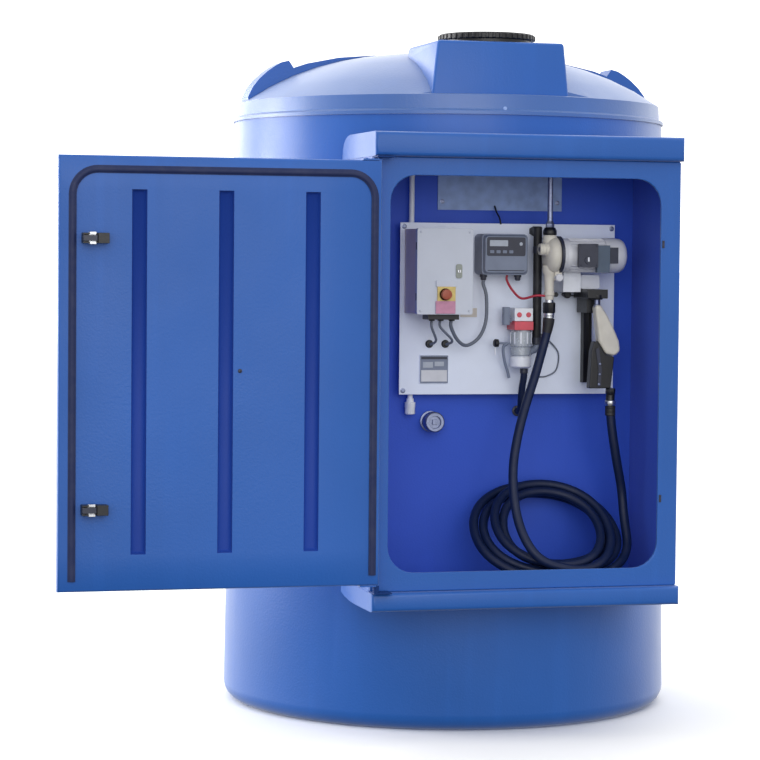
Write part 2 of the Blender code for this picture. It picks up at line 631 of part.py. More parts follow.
def build_coil(rubber):
    # The section runs from -1 to 1 across the band, and over the full thickness out of it.
    steps = 40
    thick = COIL_HALF_THICK
    soft, soft_side = 0.012, 0.70
    section = [(1, -thick + soft), (1, thick - soft), (soft_side, thick), (-soft_side, thick),
               (-1, thick - soft), (-1, -thick + soft), (-soft_side, -thick), (soft_side, -thick)]
    shape = bmesh.new()
    rings = []
    for step in range(steps):
        angle = math.tau * step / steps
        reach, band = COIL_DOWN if step < steps / 2 else COIL_UP
        ring = []
        for side, out in section:
            across = (COIL_SIDE[0] + side * COIL_SIDE[1]) * math.cos(angle)
            down = (reach + side * band) * math.sin(angle)
            ring.append(shape.verts.new(coil_point(across, down, out)))
        rings.append(ring)
    for ring, after in zip(rings, rings[1:] + rings[:1]):
        for index in range(len(section)):
            beside = (index + 1) % len(section)
            shape.faces.new((ring[index], ring[beside], after[beside], after[index]))
    from_bmesh("hose_coil", shape, rubber)


def build_hose(rubber):
    build_coil(rubber)
    land = COIL_HALF_THICK + GAP
    lift = land + 0.040
    drop_at = (-0.060, 0.169)
    tube("hose_drop", [(PUMP_X, PUMP_Y, 1.3557), (PUMP_X, PUMP_Y, 1.324), (0.1404, -0.695, 1.288),
                       (0.1257, -0.700, 1.249), (0.1015, -0.715, 1.174), (0.0758, -0.730, 1.114),
                       (0.0516, -0.745, 1.054), (0.0342, -0.758, 1.004), (0.0076, -0.780, 0.908),
                       (-0.0027, -0.800, 0.834), (-0.0014, -0.828, 0.738), (0.0110, -0.860, 0.672),
                       (0.0500, -0.886, 0.628), coil_point(*drop_at, lift), coil_point(*drop_at, land)],
         HOSE_RADIUS, rubber, 0.04)
    rise_at = (0.240, -0.045)
    tube("hose_rise", [(SWIVEL_X, SWIVEL_Y, 1.0657), (SWIVEL_X, SWIVEL_Y, 1.035), (0.3690, SWIVEL_Y, 0.979),
                       (0.3780, -0.717, 0.926), (0.3900, -0.712, 0.869), (0.4050, -0.705, 0.812),
                       coil_point(*rise_at, lift), coil_point(*rise_at, land)],
         HOSE_RADIUS, rubber, 0.04)
    tube("riser_hose", [(RISER_X, PANEL_Y - 2 * GAP, 1.648), (RISER_X, -0.592, 1.648), (RISER_X, -0.614, 1.630),
                        (RISER_X, -0.618, 1.600), (RISER_X, -0.618, 1.450), (RISER_X, -0.618, 1.300),
                        (RISER_X, -0.618, 1.2668)], RISER_RADIUS, rubber, 0.03)
    tube("filter_hose", [(0.092, -0.615, 1.1877), (0.092, -0.615, 1.160), (0.089, -0.606, 1.120),
                         (0.090, -0.594, 1.080), (0.096, -0.572, 1.048), (0.100, -0.548, 1.040),
                         (0.100, BACK_Y - 2 * GAP, 1.040)],
         0.0115, rubber, 0.025)


def main():
    clear_scene()
    finish = finishes()
    build_tank(finish["moulded"])
    build_dome(finish["moulded"])
    build_ribs(finish["moulded"])
    build_neck(finish["moulded"], finish["black"])
    build_cabinet(finish["moulded"], finish["inner"])
    build_hinges(finish["moulded"])
    build_door(finish["door"], finish["rubber"], finish["black"], finish["steel"])
    build_panel(finish["panel"], finish["grey"], finish["black"], finish["red"])
    build_cables(finish["grey"], finish["red"])
    build_pump(finish["cream"], finish["black"], finish["steel"])
    build_valve(finish["red"], finish["cream"], finish["steel"])
    build_nozzle(finish["panel"], finish["cream"], finish["black"], finish["steel"])
    build_hose(finish["rubber"])


main()
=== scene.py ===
"""Looks of the vertical storage tank: materials, hose, small fittings, light and camera."""

import math

import bmesh
import bpy
from mathutils import Matrix, Vector


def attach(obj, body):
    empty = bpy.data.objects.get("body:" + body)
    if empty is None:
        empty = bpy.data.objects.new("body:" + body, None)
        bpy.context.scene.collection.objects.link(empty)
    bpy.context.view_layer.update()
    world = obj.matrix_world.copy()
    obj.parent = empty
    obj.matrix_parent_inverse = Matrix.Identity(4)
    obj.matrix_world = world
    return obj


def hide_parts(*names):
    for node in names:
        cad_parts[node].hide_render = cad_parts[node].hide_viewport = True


# Camera, matched to the photograph
LENS_MM = 127.055
SENSOR_MM = 36.0
CAMERA_AT = Vector((-2.67839, -9.11466, 1.54167))
CAMERA_RIGHT = Vector((0.96607185, -0.25811867, 0.00894098))
CAMERA_UP = Vector((0.00286349, 0.04532062, 0.99896839))
CAMERA_LOOK = Vector((0.2582576, 0.96504963, -0.0445221))

# Brightness of the studio before and behind the tank, and its share from below the horizon
FRONT_LIGHT = 0.95
BACK_LIGHT = 1.85
GROUND_SHARE = 0.2

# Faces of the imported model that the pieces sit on
PANEL_FACE = -0.57
DOOR_FACE = -1.0103
FRAME_FACE = -0.935
BACK_FACE = -0.52
GAP = 0.0003

# Upright axes of the pump with its supply pipe and hose outlet, and of the riser hose
PUMP_AXIS = (0.1525, -0.69)
RISER_AXIS = (0.1345, -0.618)

# Heights of the pump's middle and of the door's latches
PUMP_LEVEL = 1.5645
LATCH_LEVELS = {"upper": 1.602, "lower": 0.775}

# Directions
LEFT, RIGHT = Vector((-1.0, 0.0, 0.0)), Vector((1.0, 0.0, 0.0))
FRONT, BACK = Vector((0.0, -1.0, 0.0)), Vector((0.0, 1.0, 0.0))
DOWN, UP = Vector((0.0, 0.0, -1.0)), Vector((0.0, 0.0, 1.0))

# Hose
HOSE_RADIUS = 0.015
HOSE_STEP = 0.0125
RELAX_STEP = 0.012
RELAX_ROUNDS = 20
COIL_CENTRE = Vector((0.158, -0.7245, 0.6544))
COIL_LEAN = math.radians(40)
COIL_SQUARENESS = 2.15
COIL_STEPS = 96
COIL_TURNS = (0.02, 4.22)
# Turn number, reach left, right, up the slope and down it, and distance out of the coil's plane
COIL_STATIONS = (
    (0.0, 0.196, 0.198, 0.22, 0.211, 0.026), (0.12, 0.196, 0.198, 0.205, 0.211, 0.0166),
    (0.3, 0.196, 0.198, 0.205, 0.211, 0.0166), (0.78, 0.196, 0.196, 0.205, 0.177, 0.0166),
    (1.02, 0.164, 0.165, 0.17, 0.177, 0.0166), (1.6, 0.164, 0.165, 0.17, 0.143, 0.0166),
    (1.9, 0.172, 0.17, 0.175, 0.139, -0.0166), (2.25, 0.228, 0.198, 0.19, 0.139, -0.0166),
    (2.68, 0.23, 0.2, 0.197, 0.175, -0.0166), (3.04, 0.23, 0.232, 0.21, 0.175, -0.0166),
    (3.4, 0.262, 0.232, 0.23, 0.211, -0.0166), (3.8, 0.262, 0.266, 0.23, 0.211, -0.0166),
    (4.4, 0.262, 0.266, 0.23, 0.211, -0.0166),
)
DROP_ROUTE = (
    (0.1525, -0.69, 1.3555), (0.1525, -0.69, 1.324), (0.1404, -0.695, 1.288), (0.1257, -0.7, 1.249),
    (0.1015, -0.715, 1.174), (0.0758, -0.73, 1.114), (0.0516, -0.745, 1.054), (0.0342, -0.758, 1.004),
    (0.0076, -0.78, 0.908), (-0.0027, -0.8, 0.834), (-0.0014, -0.828, 0.738), (0.0081, -0.856, 0.672),
    (0.0282, -0.886, 0.618), (0.0625, -0.8985, 0.57),
)
RISE_ROUTE = (
    (0.418, -0.7, 0.701), (0.4209, -0.684, 0.764), (0.4087, -0.694, 0.814), (0.3916, -0.708, 0.868),
    (0.3787, -0.716, 0.926), (0.3692, -0.718, 0.979), (0.361, -0.718, 1.035), (0.361, -0.718, 1.0657),
)


# Materials

FINISHES = {}


def srgb(red, green, blue):
    """Linear colour of a screen colour given in 0 to 255."""
    values = []
    for value in (red, green, blue):
        share = value / 255
        values.append(share / 12.92 if share <= 0.04045 else ((share + 0.055) / 1.055) ** 2.4)
    return tuple(values)


def scaled(colour, factor):
    return tuple(min(1.0, value * factor) for value in colour)


def spread(tree, value, start, end, low, high):
    """Values from start to end become low to high."""
    mapped = tree.nodes.new("ShaderNodeMapRange")
    tree.links.new(value, mapped.inputs["Value"])
    for socket, number in (("From Min", start), ("From Max", end), ("To Min", low), ("To Max", high)):
        mapped.inputs[socket].default_value = number
    return mapped.outputs["Result"]


class Finish:
    """A node material under construction. Its noises run in the object's own metres."""

    def __init__(self, name, **fixed):
        self.material = bpy.data.materials.new(name)
        self.material.use_nodes = True
        self.tree = self.material.node_tree
        self.shader = self.tree.nodes["Principled BSDF"]
        for socket, value in fixed.items():
            self.shader.inputs[socket.replace("_", " ")].default_value = value
        self.place = self.tree.nodes.new("ShaderNodeTexCoord").outputs["Object"]

    def noise(self, scale, detail=3.0, stretch=(1.0, 1.0, 1.0)):
        mapping = self.tree.nodes.new("ShaderNodeMapping")
        mapping.inputs["Scale"].default_value = stretch
        texture = self.tree.nodes.new("ShaderNodeTexNoise")
        texture.inputs["Scale"].default_value = scale
        texture.inputs["Detail"].default_value = detail
        self.tree.links.new(self.place, mapping.inputs["Vector"])
        self.tree.links.new(mapping.outputs["Vector"], texture.inputs["Vector"])
        return texture.outputs["Fac"]

    def spread(self, value, start=0.3, end=0.7, low=0.0, high=1.0):
        return spread(self.tree, value, start, end, low, high)

    def mix(self, share, first, second):
        """Blend of two colours, each a tuple or another blend."""
        node = self.tree.nodes.new("ShaderNodeMix")
        node.data_type = "RGBA"
        factor, low, high = node.inputs[0], node.inputs[6], node.inputs[7]
        self.tree.links.new(share, factor)
        for socket, colour in ((low, first), (high, second)):
            if isinstance(colour, tuple):
                socket.default_value = (*colour, 1.0)
            else:
                self.tree.links.new(colour, socket)
        return node.outputs[2]

    def base(self, colour):
        self.tree.links.new(colour, self.shader.inputs["Base Color"])

    def rough(self, value):
        self.tree.links.new(value, self.shader.inputs["Roughness"])

    def bump(self, height, distance):
        """Adds relief over what is there already. The distance is the relief's height in metres."""
        node = self.tree.nodes.new("ShaderNodeBump")
        node.inputs["Distance"].default_value = distance
        self.tree.links.new(height, node.inputs["Height"])
        normal = self.shader.inputs["Normal"]
        for link in list(normal.links):
            self.tree.links.new(link.from_socket, node.inputs["Normal"])
        self.tree.links.new(node.outputs["Normal"], normal)


def plastic(name, colour, roughness, tone=0.06, patch=6.0, grain=400.0, relief=0.0002, **fixed):
    """Moulded or painted surface: faint uneven tone, uneven gloss and a fine grain."""
    finish = Finish(name, Roughness=roughness, **fixed)
    cloud = finish.spread(finish.noise(patch))
    finish.base(finish.mix(cloud, scaled(colour, 1 - tone), scaled(colour, 1 + tone)))
    finish.rough(finish.spread(finish.noise(5 * patch), 0.3, 0.7, roughness - 0.05, roughness + 0.05))
    finish.bump(finish.noise(grain, 2.0), relief)
    return finish.material


def moulded(name, colour, roughness=0.34, haze=0.2, gloss=0.38):
    """Rotationally moulded plastic: blotches, faint runs down the wall, slow waves and orange peel."""
    finish = Finish(name, Roughness=roughness, Sheen_Weight=haze, Sheen_Roughness=0.45,
                    Specular_IOR_Level=gloss)
    cloud = finish.spread(finish.noise(1.6, 4.0))
    shade = finish.mix(cloud, scaled(colour, 0.92), scaled(colour, 1.08))
    runs = finish.spread(finish.noise(14.0, 4.0, (1.0, 1.0, 0.05)), 0.55, 0.8, 0.0, 0.12)
    shade = finish.mix(runs, shade, scaled(colour, 1.7))
    finish.base(shade)
    finish.rough(finish.spread(finish.noise(4.0, 2.0), 0.1, 0.9, roughness - 0.08, roughness + 0.1))
    finish.bump(finish.noise(1.9, 1.0), 0.005)
    finish.bump(finish.noise(150.0, 2.0), 0.0005)
    return finish.material


def rubber(name, colour, roughness, dust=0.1, gloss=0.5):
    """Rubber with fine grain and dust that lies in patches."""
    finish = Finish(name, Roughness=roughness, Specular_IOR_Level=gloss)
    dusty = finish.spread(finish.noise(22.0, 5.0), 0.45, 0.75, 0.0, dust)
    finish.base(finish.mix(dusty, colour, srgb(120, 122, 130)))
    finish.rough(finish.spread(finish.noise(60.0), 0.3, 0.7, roughness - 0.06, roughness + 0.1))
    finish.bump(finish.noise(900.0, 2.0), 0.00012)
    return finish.material


def metal(name, colour, roughness, stretch=(1.0, 1.0, 14.0)):
    """Metal with fine turning marks and slight tarnish."""
    finish = Finish(name, Metallic=1.0, Roughness=roughness)
    tarnish = finish.spread(finish.noise(70.0, 4.0), 0.4, 0.75)
    finish.base(finish.mix(tarnish, colour, scaled(colour, 0.72)))
    marks = finish.noise(160.0, 3.0, stretch)
    finish.rough(finish.spread(marks, 0.3, 0.7, roughness - 0.08, roughness + 0.12))
    finish.bump(marks, 0.00008)
    return finish.material


def clear_plastic(name, colour):
    """Milky bowl that lets some light through."""
    finish = Finish(name, Roughness=0.22, Transmission_Weight=0.35, IOR=1.49)
    cloud = finish.spread(finish.noise(40.0))
    finish.base(finish.mix(cloud, scaled(colour, 0.88), colour))
    finish.rough(finish.spread(finish.noise(90.0), 0.3, 0.7, 0.18, 0.3))
    finish.bump(finish.noise(300.0, 2.0), 0.0001)
    return finish.material


def build_finishes():
    return {
        "shell": moulded("moulded_blue", srgb(31, 90, 171)),
        "dome": moulded("dome_blue", srgb(28, 88, 160), 0.38, 0.36, 0.9),
        "door": moulded("door_blue", srgb(32, 90, 172), 0.38),
        # The cabinet's inside is the shell's plastic, painted lighter and more violet: painted light inside
        # the cabinet
        "inner": moulded("inner_blue_painted_light", srgb(52, 88, 200), 0.45, 0.1, 0.2),
        # Darker copy of the door's blue for the pressed channels: painted shade in the recesses
        "channel": moulded("channel_blue_painted_shade", srgb(26, 62, 150), 0.5, 0.05, 0.2),
        "panel": plastic("panel_white", srgb(222, 230, 248), 0.36, 0.04, 9.0, 700.0),
        "lid": plastic("enclosure_lid", srgb(192, 198, 212), 0.42, 0.03, 12.0),
        # The enclosure's body is painted warm and pale to cancel the blue light the cabinet walls throw on
        # its sides: painted light
        "box": plastic("enclosure_box_painted_light", srgb(240, 218, 202), 0.5, 0.05, 12.0),
        "plate": plastic("plate_grey", srgb(132, 158, 206), 0.4, 0.14, 30.0),
        "housing": plastic("housing_grey", srgb(116, 126, 148), 0.45, 0.08, 25.0),
        "slate": plastic("housing_slate", srgb(72, 88, 108), 0.45, 0.08, 30.0),
        "dark": plastic("housing_dark", srgb(42, 46, 64), 0.4, 0.1, 40.0),
        "window": plastic("display_window", srgb(168, 176, 190), 0.2, 0.05, 60.0),
        "black": plastic("black_plastic", srgb(17, 18, 24), 0.4, 0.15, 40.0),
        "seal": rubber("seal_rubber", srgb(26, 38, 80), 0.5, 0.06, 0.3),
        # Black rubber with a blue tint in its colour: the tint is a painted reflection of the blue cabinet
        # round the hose
        "hose": rubber("hose_rubber_blue_reflection", srgb(14, 28, 62), 0.42, 0.02, 0.28),
        "sleeve": rubber("sleeve_rubber", srgb(24, 24, 30), 0.55),
        "cream": plastic("pump_paint", srgb(204, 200, 190), 0.42, 0.06, 24.0, 500.0),
        "motor": plastic("motor_paint", srgb(204, 206, 214), 0.42, 0.06, 24.0, 500.0),
        "white": plastic("white_plastic", srgb(222, 226, 236), 0.4, 0.05, 30.0),
        "lock": plastic("lock_grey", srgb(140, 146, 140), 0.42, 0.08, 60.0),
        "hinge": moulded("hinge_blue", srgb(18, 52, 112), 0.55, 0.0, 0.15),
        "bowl": clear_plastic("filter_bowl", srgb(196, 204, 216)),
        "steel": metal("bright_steel", srgb(202, 204, 208), 0.28),
        "zinc": metal("zinc_plating", srgb(150, 158, 186), 0.45),
        "red": plastic("red_plastic", srgb(204, 76, 92), 0.4, 0.08, 40.0),
        "yellow": plastic("yellow_plate", srgb(206, 184, 112), 0.45, 0.08, 60.0),
        "rust": plastic("knob_brown", srgb(156, 74, 52), 0.45, 0.14, 90.0),
        "pink": plastic("pale_red_block", srgb(190, 132, 160), 0.45, 0.08, 60.0),
        "beige": plastic("bare_label", srgb(196, 190, 184), 0.5, 0.05, 60.0),
        "grey_cable": rubber("grey_cable", srgb(98, 106, 122), 0.45, 0.15),
        "red_cable": rubber("red_cable", srgb(170, 40, 62), 0.4, 0.05),
    }


# Mesh building

def placed(name, data):
    """Puts data into the scene as an object."""
    thing = bpy.data.objects.new(name, data)
    bpy.context.scene.collection.objects.link(thing)
    return thing


class Shape:
    """A mesh under construction. Each part of it takes one of its piece's finishes by number."""

    def __init__(self):
        self.mesh = bmesh.new()

    def skin(self, rings, finish=0, closed=False):
        """Joins rings of points by faces, and closes the ends unless the last ring joins the first."""
        built = [[self.mesh.verts.new(point) for point in ring] for ring in rings]
        faces = []
        for ring, after in zip(built, built[1:] + built[:1] if closed else built[1:]):
            faces += zip(ring, ring[1:] + ring[:1], after[1:] + after[:1], after)
        if not closed:
            faces += [built[0], built[-1]]
        for corners in faces:
            self.mesh.faces.new(corners).material_index = finish

    def box(self, low, high, finish=0):
        corners = ((low[0], low[1]), (high[0], low[1]), (high[0], high[1]), (low[0], high[1]))
        self.skin([[(x, y, height) for x, y in corners] for height in (low[2], high[2])], finish)

    def prism(self, outline, front, back, finish=0, inset=0.0):
        """Extrudes an outline in x and z from front to back. An inset makes the front smaller."""
        middle_x, middle_z = (sum(values) / len(outline) for values in zip(*outline))
        rings = []
        for level, shrink in ((front, inset), (back, 0.0)):
            rings.append([(x + math.copysign(shrink, middle_x - x), level,
                           z + math.copysign(shrink, middle_z - z)) for x, z in outline])
        self.skin(rings, finish)

    def plate(self, x, z, radius, front, back, finish=0, steps=5, inset=0.0):
        """Block with rounded corners, whose edges in x and z are given."""
        self.prism(rounded_rectangle(x, z, radius, steps), front, back, finish, inset)

    def lathe(self, start, out, profile, finish=0, steps=32):
        """Turns (distance along, radius) pairs in millimetres about the line from start."""
        start = Vector(start)
        turn = out.to_track_quat("Z", "Y").to_matrix()
        angles = [math.tau * (step + 0.5) / steps for step in range(steps)]
        rings = []
        for along, radius in profile:
            ring = [(radius * math.cos(angle), radius * math.sin(angle), along) for angle in angles]
            rings.append([start + turn @ (Vector(point) / 1000) for point in ring])
        self.skin(rings, finish)

    def tube(self, points, radius, finish=0, sides=14):
        """Round tube along points. The radius is one number, or one for each point."""
        points = [Vector(point) for point in points]
        radii = radius if isinstance(radius, (list, tuple)) else [radius] * len(points)
        along = (points[1] - points[0]).normalized()
        side = along.orthogonal().normalized()
        angles = [math.tau * step / sides for step in range(sides)]
        rings = []
        for index, (point, size) in enumerate(zip(points, radii)):
            before, after = points[max(index - 1, 0)], points[min(index + 1, len(points) - 1)]
            along = (after - before).normalized()
            side = (side - along * side.dot(along)).normalized()
            up = along.cross(side)
            rings.append([point + size * (side * math.cos(angle) + up * math.sin(angle))
                          for angle in angles])
        self.skin(rings, finish)

    def sweep(self, points, out, section, finish=0, closed=False):
        """Carries a section of (across, out) pairs along a path that lies in one plane."""
        out = Vector(out)
        points = [Vector(point) for point in points]
        last = len(points) - 1
        rings = []
        for index, point in enumerate(points):
            before = points[index - 1] if closed or index else point
            after = points[(index + 1) % len(points)] if closed or index < last else point
            across = (after - before).normalized().cross(out)
            rings.append([point + across * sideways + out * height for sideways, height in section])
        self.skin(rings, finish, closed)

    def bar(self, stations, side, out, finish=0):
        """Bar through stations, each with its foot, height and half widths at the foot and on top."""
        rings = []
        for foot, height, wide, narrow in stations:
            top = foot + out * height
            rings.append([foot - side * wide, top - side * narrow, top + side * narrow, foot + side * wide])
        self.skin(rings, finish)

    def bolt(self, at, out, radius, finish=0):
        """Hexagon head on its washer, with its radius in millimetres."""
        washer = ((0, 1.9), (0.22, 1.9), (0.3, 1.748))
        head = ((0.28, 1.12), (0.85, 1.12), (1.02, 0.9))
        for profile, steps in ((washer, 20), (head, 6)):
            self.head(at, out, profile, radius, finish, steps)

    def screw(self, at, out, radius, finish=0):
        """Low round head with a recess, with its radius in millimetres."""
        self.head(at, out, ((0, 1), (0.25, 1), (0.55, 0.7), (0.62, 0.3), (0.35, 0.18)), radius, finish, 18)

    def head(self, at, out, profile, radius, finish, steps):
        self.lathe(at, out, [(radius * along, radius * reach) for along, reach in profile], finish, steps)


def piece(name, shape, finishes, body="tank", rounding=0.0, stands_for=(), segments=2, sharp=35):
    """Makes a shape an object that rides on a body and stands for the CAD nodes named."""
    bmesh.ops.recalc_face_normals(shape.mesh, faces=shape.mesh.faces[:])
    mesh = bpy.data.meshes.new(name)
    shape.mesh.to_mesh(mesh)
    shape.mesh.free()
    for finish in finishes:
        mesh.materials.append(FINISHES[finish])
    mesh.shade_smooth()
    mesh.set_sharp_from_angle(angle=math.radians(sharp))
    thing = placed(name, mesh)
    if rounding:
        round_edges(thing, rounding, segments)
    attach(thing, body)
    if stands_for:
        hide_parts(*stands_for)
    return thing


def round_edges(thing, width, segments=2):
    bevel = thing.modifiers.new("round", "BEVEL")
    bevel.width = width
    bevel.segments = segments
    bevel.limit_method = "ANGLE"
    bevel.angle_limit = math.radians(38)
    bevel.harden_normals = True
    return bevel


def arc(centre, radius, start, end, steps):
    points = []
    for step in range(steps + 1):
        angle = math.radians(start + (end - start) * step / steps)
        points.append((centre[0] + radius * math.cos(angle), centre[1] + radius * math.sin(angle)))
    return points


def rounded_rectangle(x, z, radius, steps=5):
    return (arc((x[1] - radius, z[1] - radius), radius, 0, 90, steps)
            + arc((x[0] + radius, z[1] - radius), radius, 90, 180, steps)
            + arc((x[0] + radius, z[0] + radius), radius, 180, 270, steps)
            + arc((x[1] - radius, z[0] + radius), radius, 270, 360, steps))


def smooth_route(route, steps=12):
    """Points of a Catmull-Rom curve through the route's own points."""
    points = [Vector(point) for point in route]
    padded = [2 * points[0] - points[1], *points, 2 * points[-1] - points[-2]]
    line = []
    for before, start, end, after in zip(padded, padded[1:], padded[2:], padded[3:]):
        for step in range(steps):
            share = step / steps
            line.append(0.5 * (2 * start + (end - before) * share
                               + (2 * before - 5 * start + 4 * end - after) * share ** 2
                               + (3 * start - before - 3 * end + after) * share ** 3))
    line.append(points[-1])
    return line


def evened(line, spacing):
    """The same line with its points a fixed distance apart."""
    reach = [0.0]
    for start, end in zip(line, line[1:]):
        reach.append(reach[-1] + (end - start).length)
    count = round(reach[-1] / spacing)
    made = []
    index = 0
    for step in range(count + 1):
        goal = reach[-1] * step / count
        while index < len(line) - 2 and reach[index + 1] < goal:
            index += 1
        share = (goal - reach[index]) / (reach[index + 1] - reach[index])
        made.append(line[index].lerp(line[index + 1], share))
    return made


def relaxed(line, rounds):
    for _ in range(rounds):
        middle = [0.5 * here + 0.25 * (before + after)
                  for before, here, after in zip(line, line[1:], line[2:])]
        line = [line[0], *middle, line[-1]]
    return line


def spokes(count, start=0.0):
    """Directions outward and sideways, evenly round the vertical."""
    for step in range(count):
        angle = math.tau * step / count + start
        out = Vector((math.cos(angle), math.sin(angle), 0.0))
        yield out, UP.cross(out)


# Stage

def build_camera():
    data = bpy.data.cameras.new("camera")
    data.lens = LENS_MM
    data.sensor_width = SENSOR_MM
    data.sensor_fit = "HORIZONTAL"
    camera = placed("camera", data)
    turn = Matrix((CAMERA_RIGHT, CAMERA_UP, -CAMERA_LOOK)).transposed()
    camera.matrix_world = Matrix.Translation(CAMERA_AT) @ turn.to_4x4()
    bpy.context.scene.camera = camera


def area_light(name, at, target, size, power, colour=(1.0, 1.0, 1.0)):
    data = bpy.data.lights.new(name, "AREA")
    data.shape = "RECTANGLE"
    data.size = size[0]
    data.size_y = size[1]
    data.energy = power
    data.color = colour
    light = placed(name, data)
    light.location = at
    light.rotation_euler = (Vector(target) - Vector(at)).to_track_quat("-Z", "Y").to_euler()
    light.visible_camera = False


def build_light():
    bpy.context.scene.view_settings.view_transform = "Standard"
    world = bpy.data.worlds.new("studio")
    world.use_nodes = True
    tree = world.node_tree
    place = tree.nodes.new("ShaderNodeTexCoord")
    axes = tree.nodes.new("ShaderNodeSeparateXYZ")
    strength = tree.nodes.new("ShaderNodeMath")
    strength.operation = "MULTIPLY"
    tree.links.new(place.outputs["Generated"], axes.inputs["Vector"])
    ramps = (("Z", -0.36, -0.13, GROUND_SHARE, 1.0), ("Y", -0.4, 0.6, FRONT_LIGHT, BACK_LIGHT))
    for index, (axis, start, end, low, high) in enumerate(ramps):
        tree.links.new(spread(tree, axes.outputs[axis], start, end, low, high), strength.inputs[index])
    background = tree.nodes["Background"]
    background.inputs["Color"].default_value = (1.0, 1.0, 1.0, 1.0)
    tree.links.new(strength.outputs["Value"], background.inputs["Strength"])
    bpy.context.scene.world = world
    area_light("key_left", (-6.8, 3.0, 1.6), (0.0, 0.0, 0.9), (4.0, 3.0), 430.0)
    area_light("sweep_left", (-3.6, 8.0, 2.6), (-0.4, 0.0, 1.4), (5.0, 4.0), 200.0)
    area_light("rim_right", (6.5, 3.0, 2.6), (0.0, 0.0, 1.2), (3.0, 4.0), 25.0)
    area_light("front_fill", (-1.5, -9.5, 3.2), (0.0, 0.0, 1.1), (7.0, 5.0), 240.0)


def build_floor():
    """Plain pale floor. It shows to the camera only, so it doesn't light the tank from below."""
    mesh = bpy.data.meshes.new("floor")
    side = 400.0
    corners = [(-side, -side, 0), (side, -side, 0), (side, side, 0), (-side, side, 0)]
    mesh.from_pydata(corners, [], [(0, 1, 2, 3)])
    floor = placed("floor", mesh)
    mesh.materials.append(plastic("floor", (0.96, 0.96, 0.96), 0.7, 0.01, 0.8, 60.0))
    floor.visible_diffuse = False
    floor.visible_glossy = False


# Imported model

def smoothing_tree():
    """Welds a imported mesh, drops its stored normals and shades it smooth below an angle."""
    tree = bpy.data.node_groups.new("weld_and_smooth", "GeometryNodeTree")
    tree.interface.new_socket("Geometry", in_out="INPUT", socket_type="NodeSocketGeometry")
    tree.interface.new_socket("Geometry", in_out="OUTPUT", socket_type="NodeSocketGeometry")
    nodes, links = tree.nodes, tree.links
    start = nodes.new("NodeGroupInput")
    normals = nodes.new("GeometryNodeRemoveAttribute")
    normals.inputs["Name"].default_value = "custom_normal"
    weld = nodes.new("GeometryNodeMergeByDistance")
    weld.inputs["Distance"].default_value = 0.00002
    faces = nodes.new("GeometryNodeSetShadeSmooth")
    faces.domain = "FACE"
    angle = nodes.new("GeometryNodeInputMeshEdgeAngle")
    steep = nodes.new("FunctionNodeCompare")
    steep.data_type = "FLOAT"
    steep.operation = "GREATER_THAN"
    steep.inputs["B"].default_value = math.radians(32)
    edges = nodes.new("GeometryNodeSetShadeSmooth")
    edges.domain = "EDGE"
    edges.inputs["Shade Smooth"].default_value = False
    end = nodes.new("NodeGroupOutput")
    links.new(start.outputs[0], normals.inputs["Geometry"])
    links.new(normals.outputs["Geometry"], weld.inputs["Geometry"])
    links.new(weld.outputs["Geometry"], faces.inputs["Geometry"])
    links.new(faces.outputs["Geometry"], edges.inputs["Geometry"])
    links.new(angle.outputs["Unsigned Angle"], steep.inputs["A"])
    links.new(steep.outputs["Result"], edges.inputs["Selection"])
    links.new(edges.outputs["Geometry"], end.inputs[0])
    return tree


def dress(frame, finish, tree, names, rounding=0.0, segments=2):
    """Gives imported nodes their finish, smooth shading and softened edges."""
    for name in names:
        thing = frame["nodes"][name]
        for slot in thing.material_slots:
            slot.material = FINISHES[finish]
        smooth = thing.modifiers.new("smooth", "NODES")
        smooth.node_group = tree
        if rounding:
            round_edges(thing, rounding, segments)


def dress_packed_nodes(frame):
    tree = smoothing_tree()
    dress(frame, "shell", tree, ("tank_shell", "tank_floor", "cabinet_roof", "cabinet_floor"))
    dress(frame, "shell", tree, ("inspection_neck",))
    dress(frame, "dome", tree, ("tank_dome",))
    dress(frame, "hinge", tree, ("hinge_top", "hinge_bottom"))
    dress(frame, "shell", tree, ("rib_left", "rib_right"), 0.008, 3)
    dress(frame, "shell", tree, ("cabinet_front",), 0.005, 3)
    # The back wall takes the interior blue with its painted light
    dress(frame, "inner", tree, ("cabinet_back",))
    dress(frame, "panel", tree, ("panel_plate",), 0.0008)
    dress(frame, "plate", tree, ("top_plate",), 0.001)
    dress(frame, "dark", tree, ("bolt_upper", "bolt_lower"), 0.0015)
    dress(frame, "rust", tree, ("switch_knob",))
    dress(frame, "zinc", tree, ("drain_coupling", "pump_outlet", "nozzle_swivel"))
    dress(frame, "hose", tree, ("filter_hose", "riser_hose"))


# Hose

def coil_point(across, down, out):
    slope = Vector((0.0, -math.cos(COIL_LEAN), -math.sin(COIL_LEAN)))
    normal = Vector((0.0, -math.sin(COIL_LEAN), math.cos(COIL_LEAN)))
    return COIL_CENTRE + Vector((across, 0.0, 0.0)) + down * slope + out * normal


def coil_line():
    """The turns of the coil, whose size and layer change from station to station."""
    power = 2 / COIL_SQUARENESS
    first, last = COIL_TURNS
    line = []
    for step in range(int((last - first) * COIL_STEPS) + 1):
        turn = first + step / COIL_STEPS
        here, after = next((here, after) for here, after in zip(COIL_STATIONS, COIL_STATIONS[1:])
                           if here[0] <= turn <= after[0])
        share = (turn - here[0]) / (after[0] - here[0])
        share = share * share * (3 - 2 * share)
        left, right, up, low, out = [a + (b - a) * share for a, b in zip(here[1:], after[1:])]
        angle = math.tau * turn - math.pi / 2
        across, down = math.cos(angle), math.sin(angle)
        across = math.copysign(abs(across) ** power, across)
        down = math.copysign(abs(down) ** power, down)
        across = (left + right) / 2 * across + (right - left) / 2
        line.append(coil_point(across, -(up if down > 0 else low) * down, out))
    return line


def hose_line():
    line = smooth_route(DROP_ROUTE) + coil_line() + smooth_route(RISE_ROUTE)
    return evened(relaxed(evened(line, RELAX_STEP), RELAX_ROUNDS), HOSE_STEP)


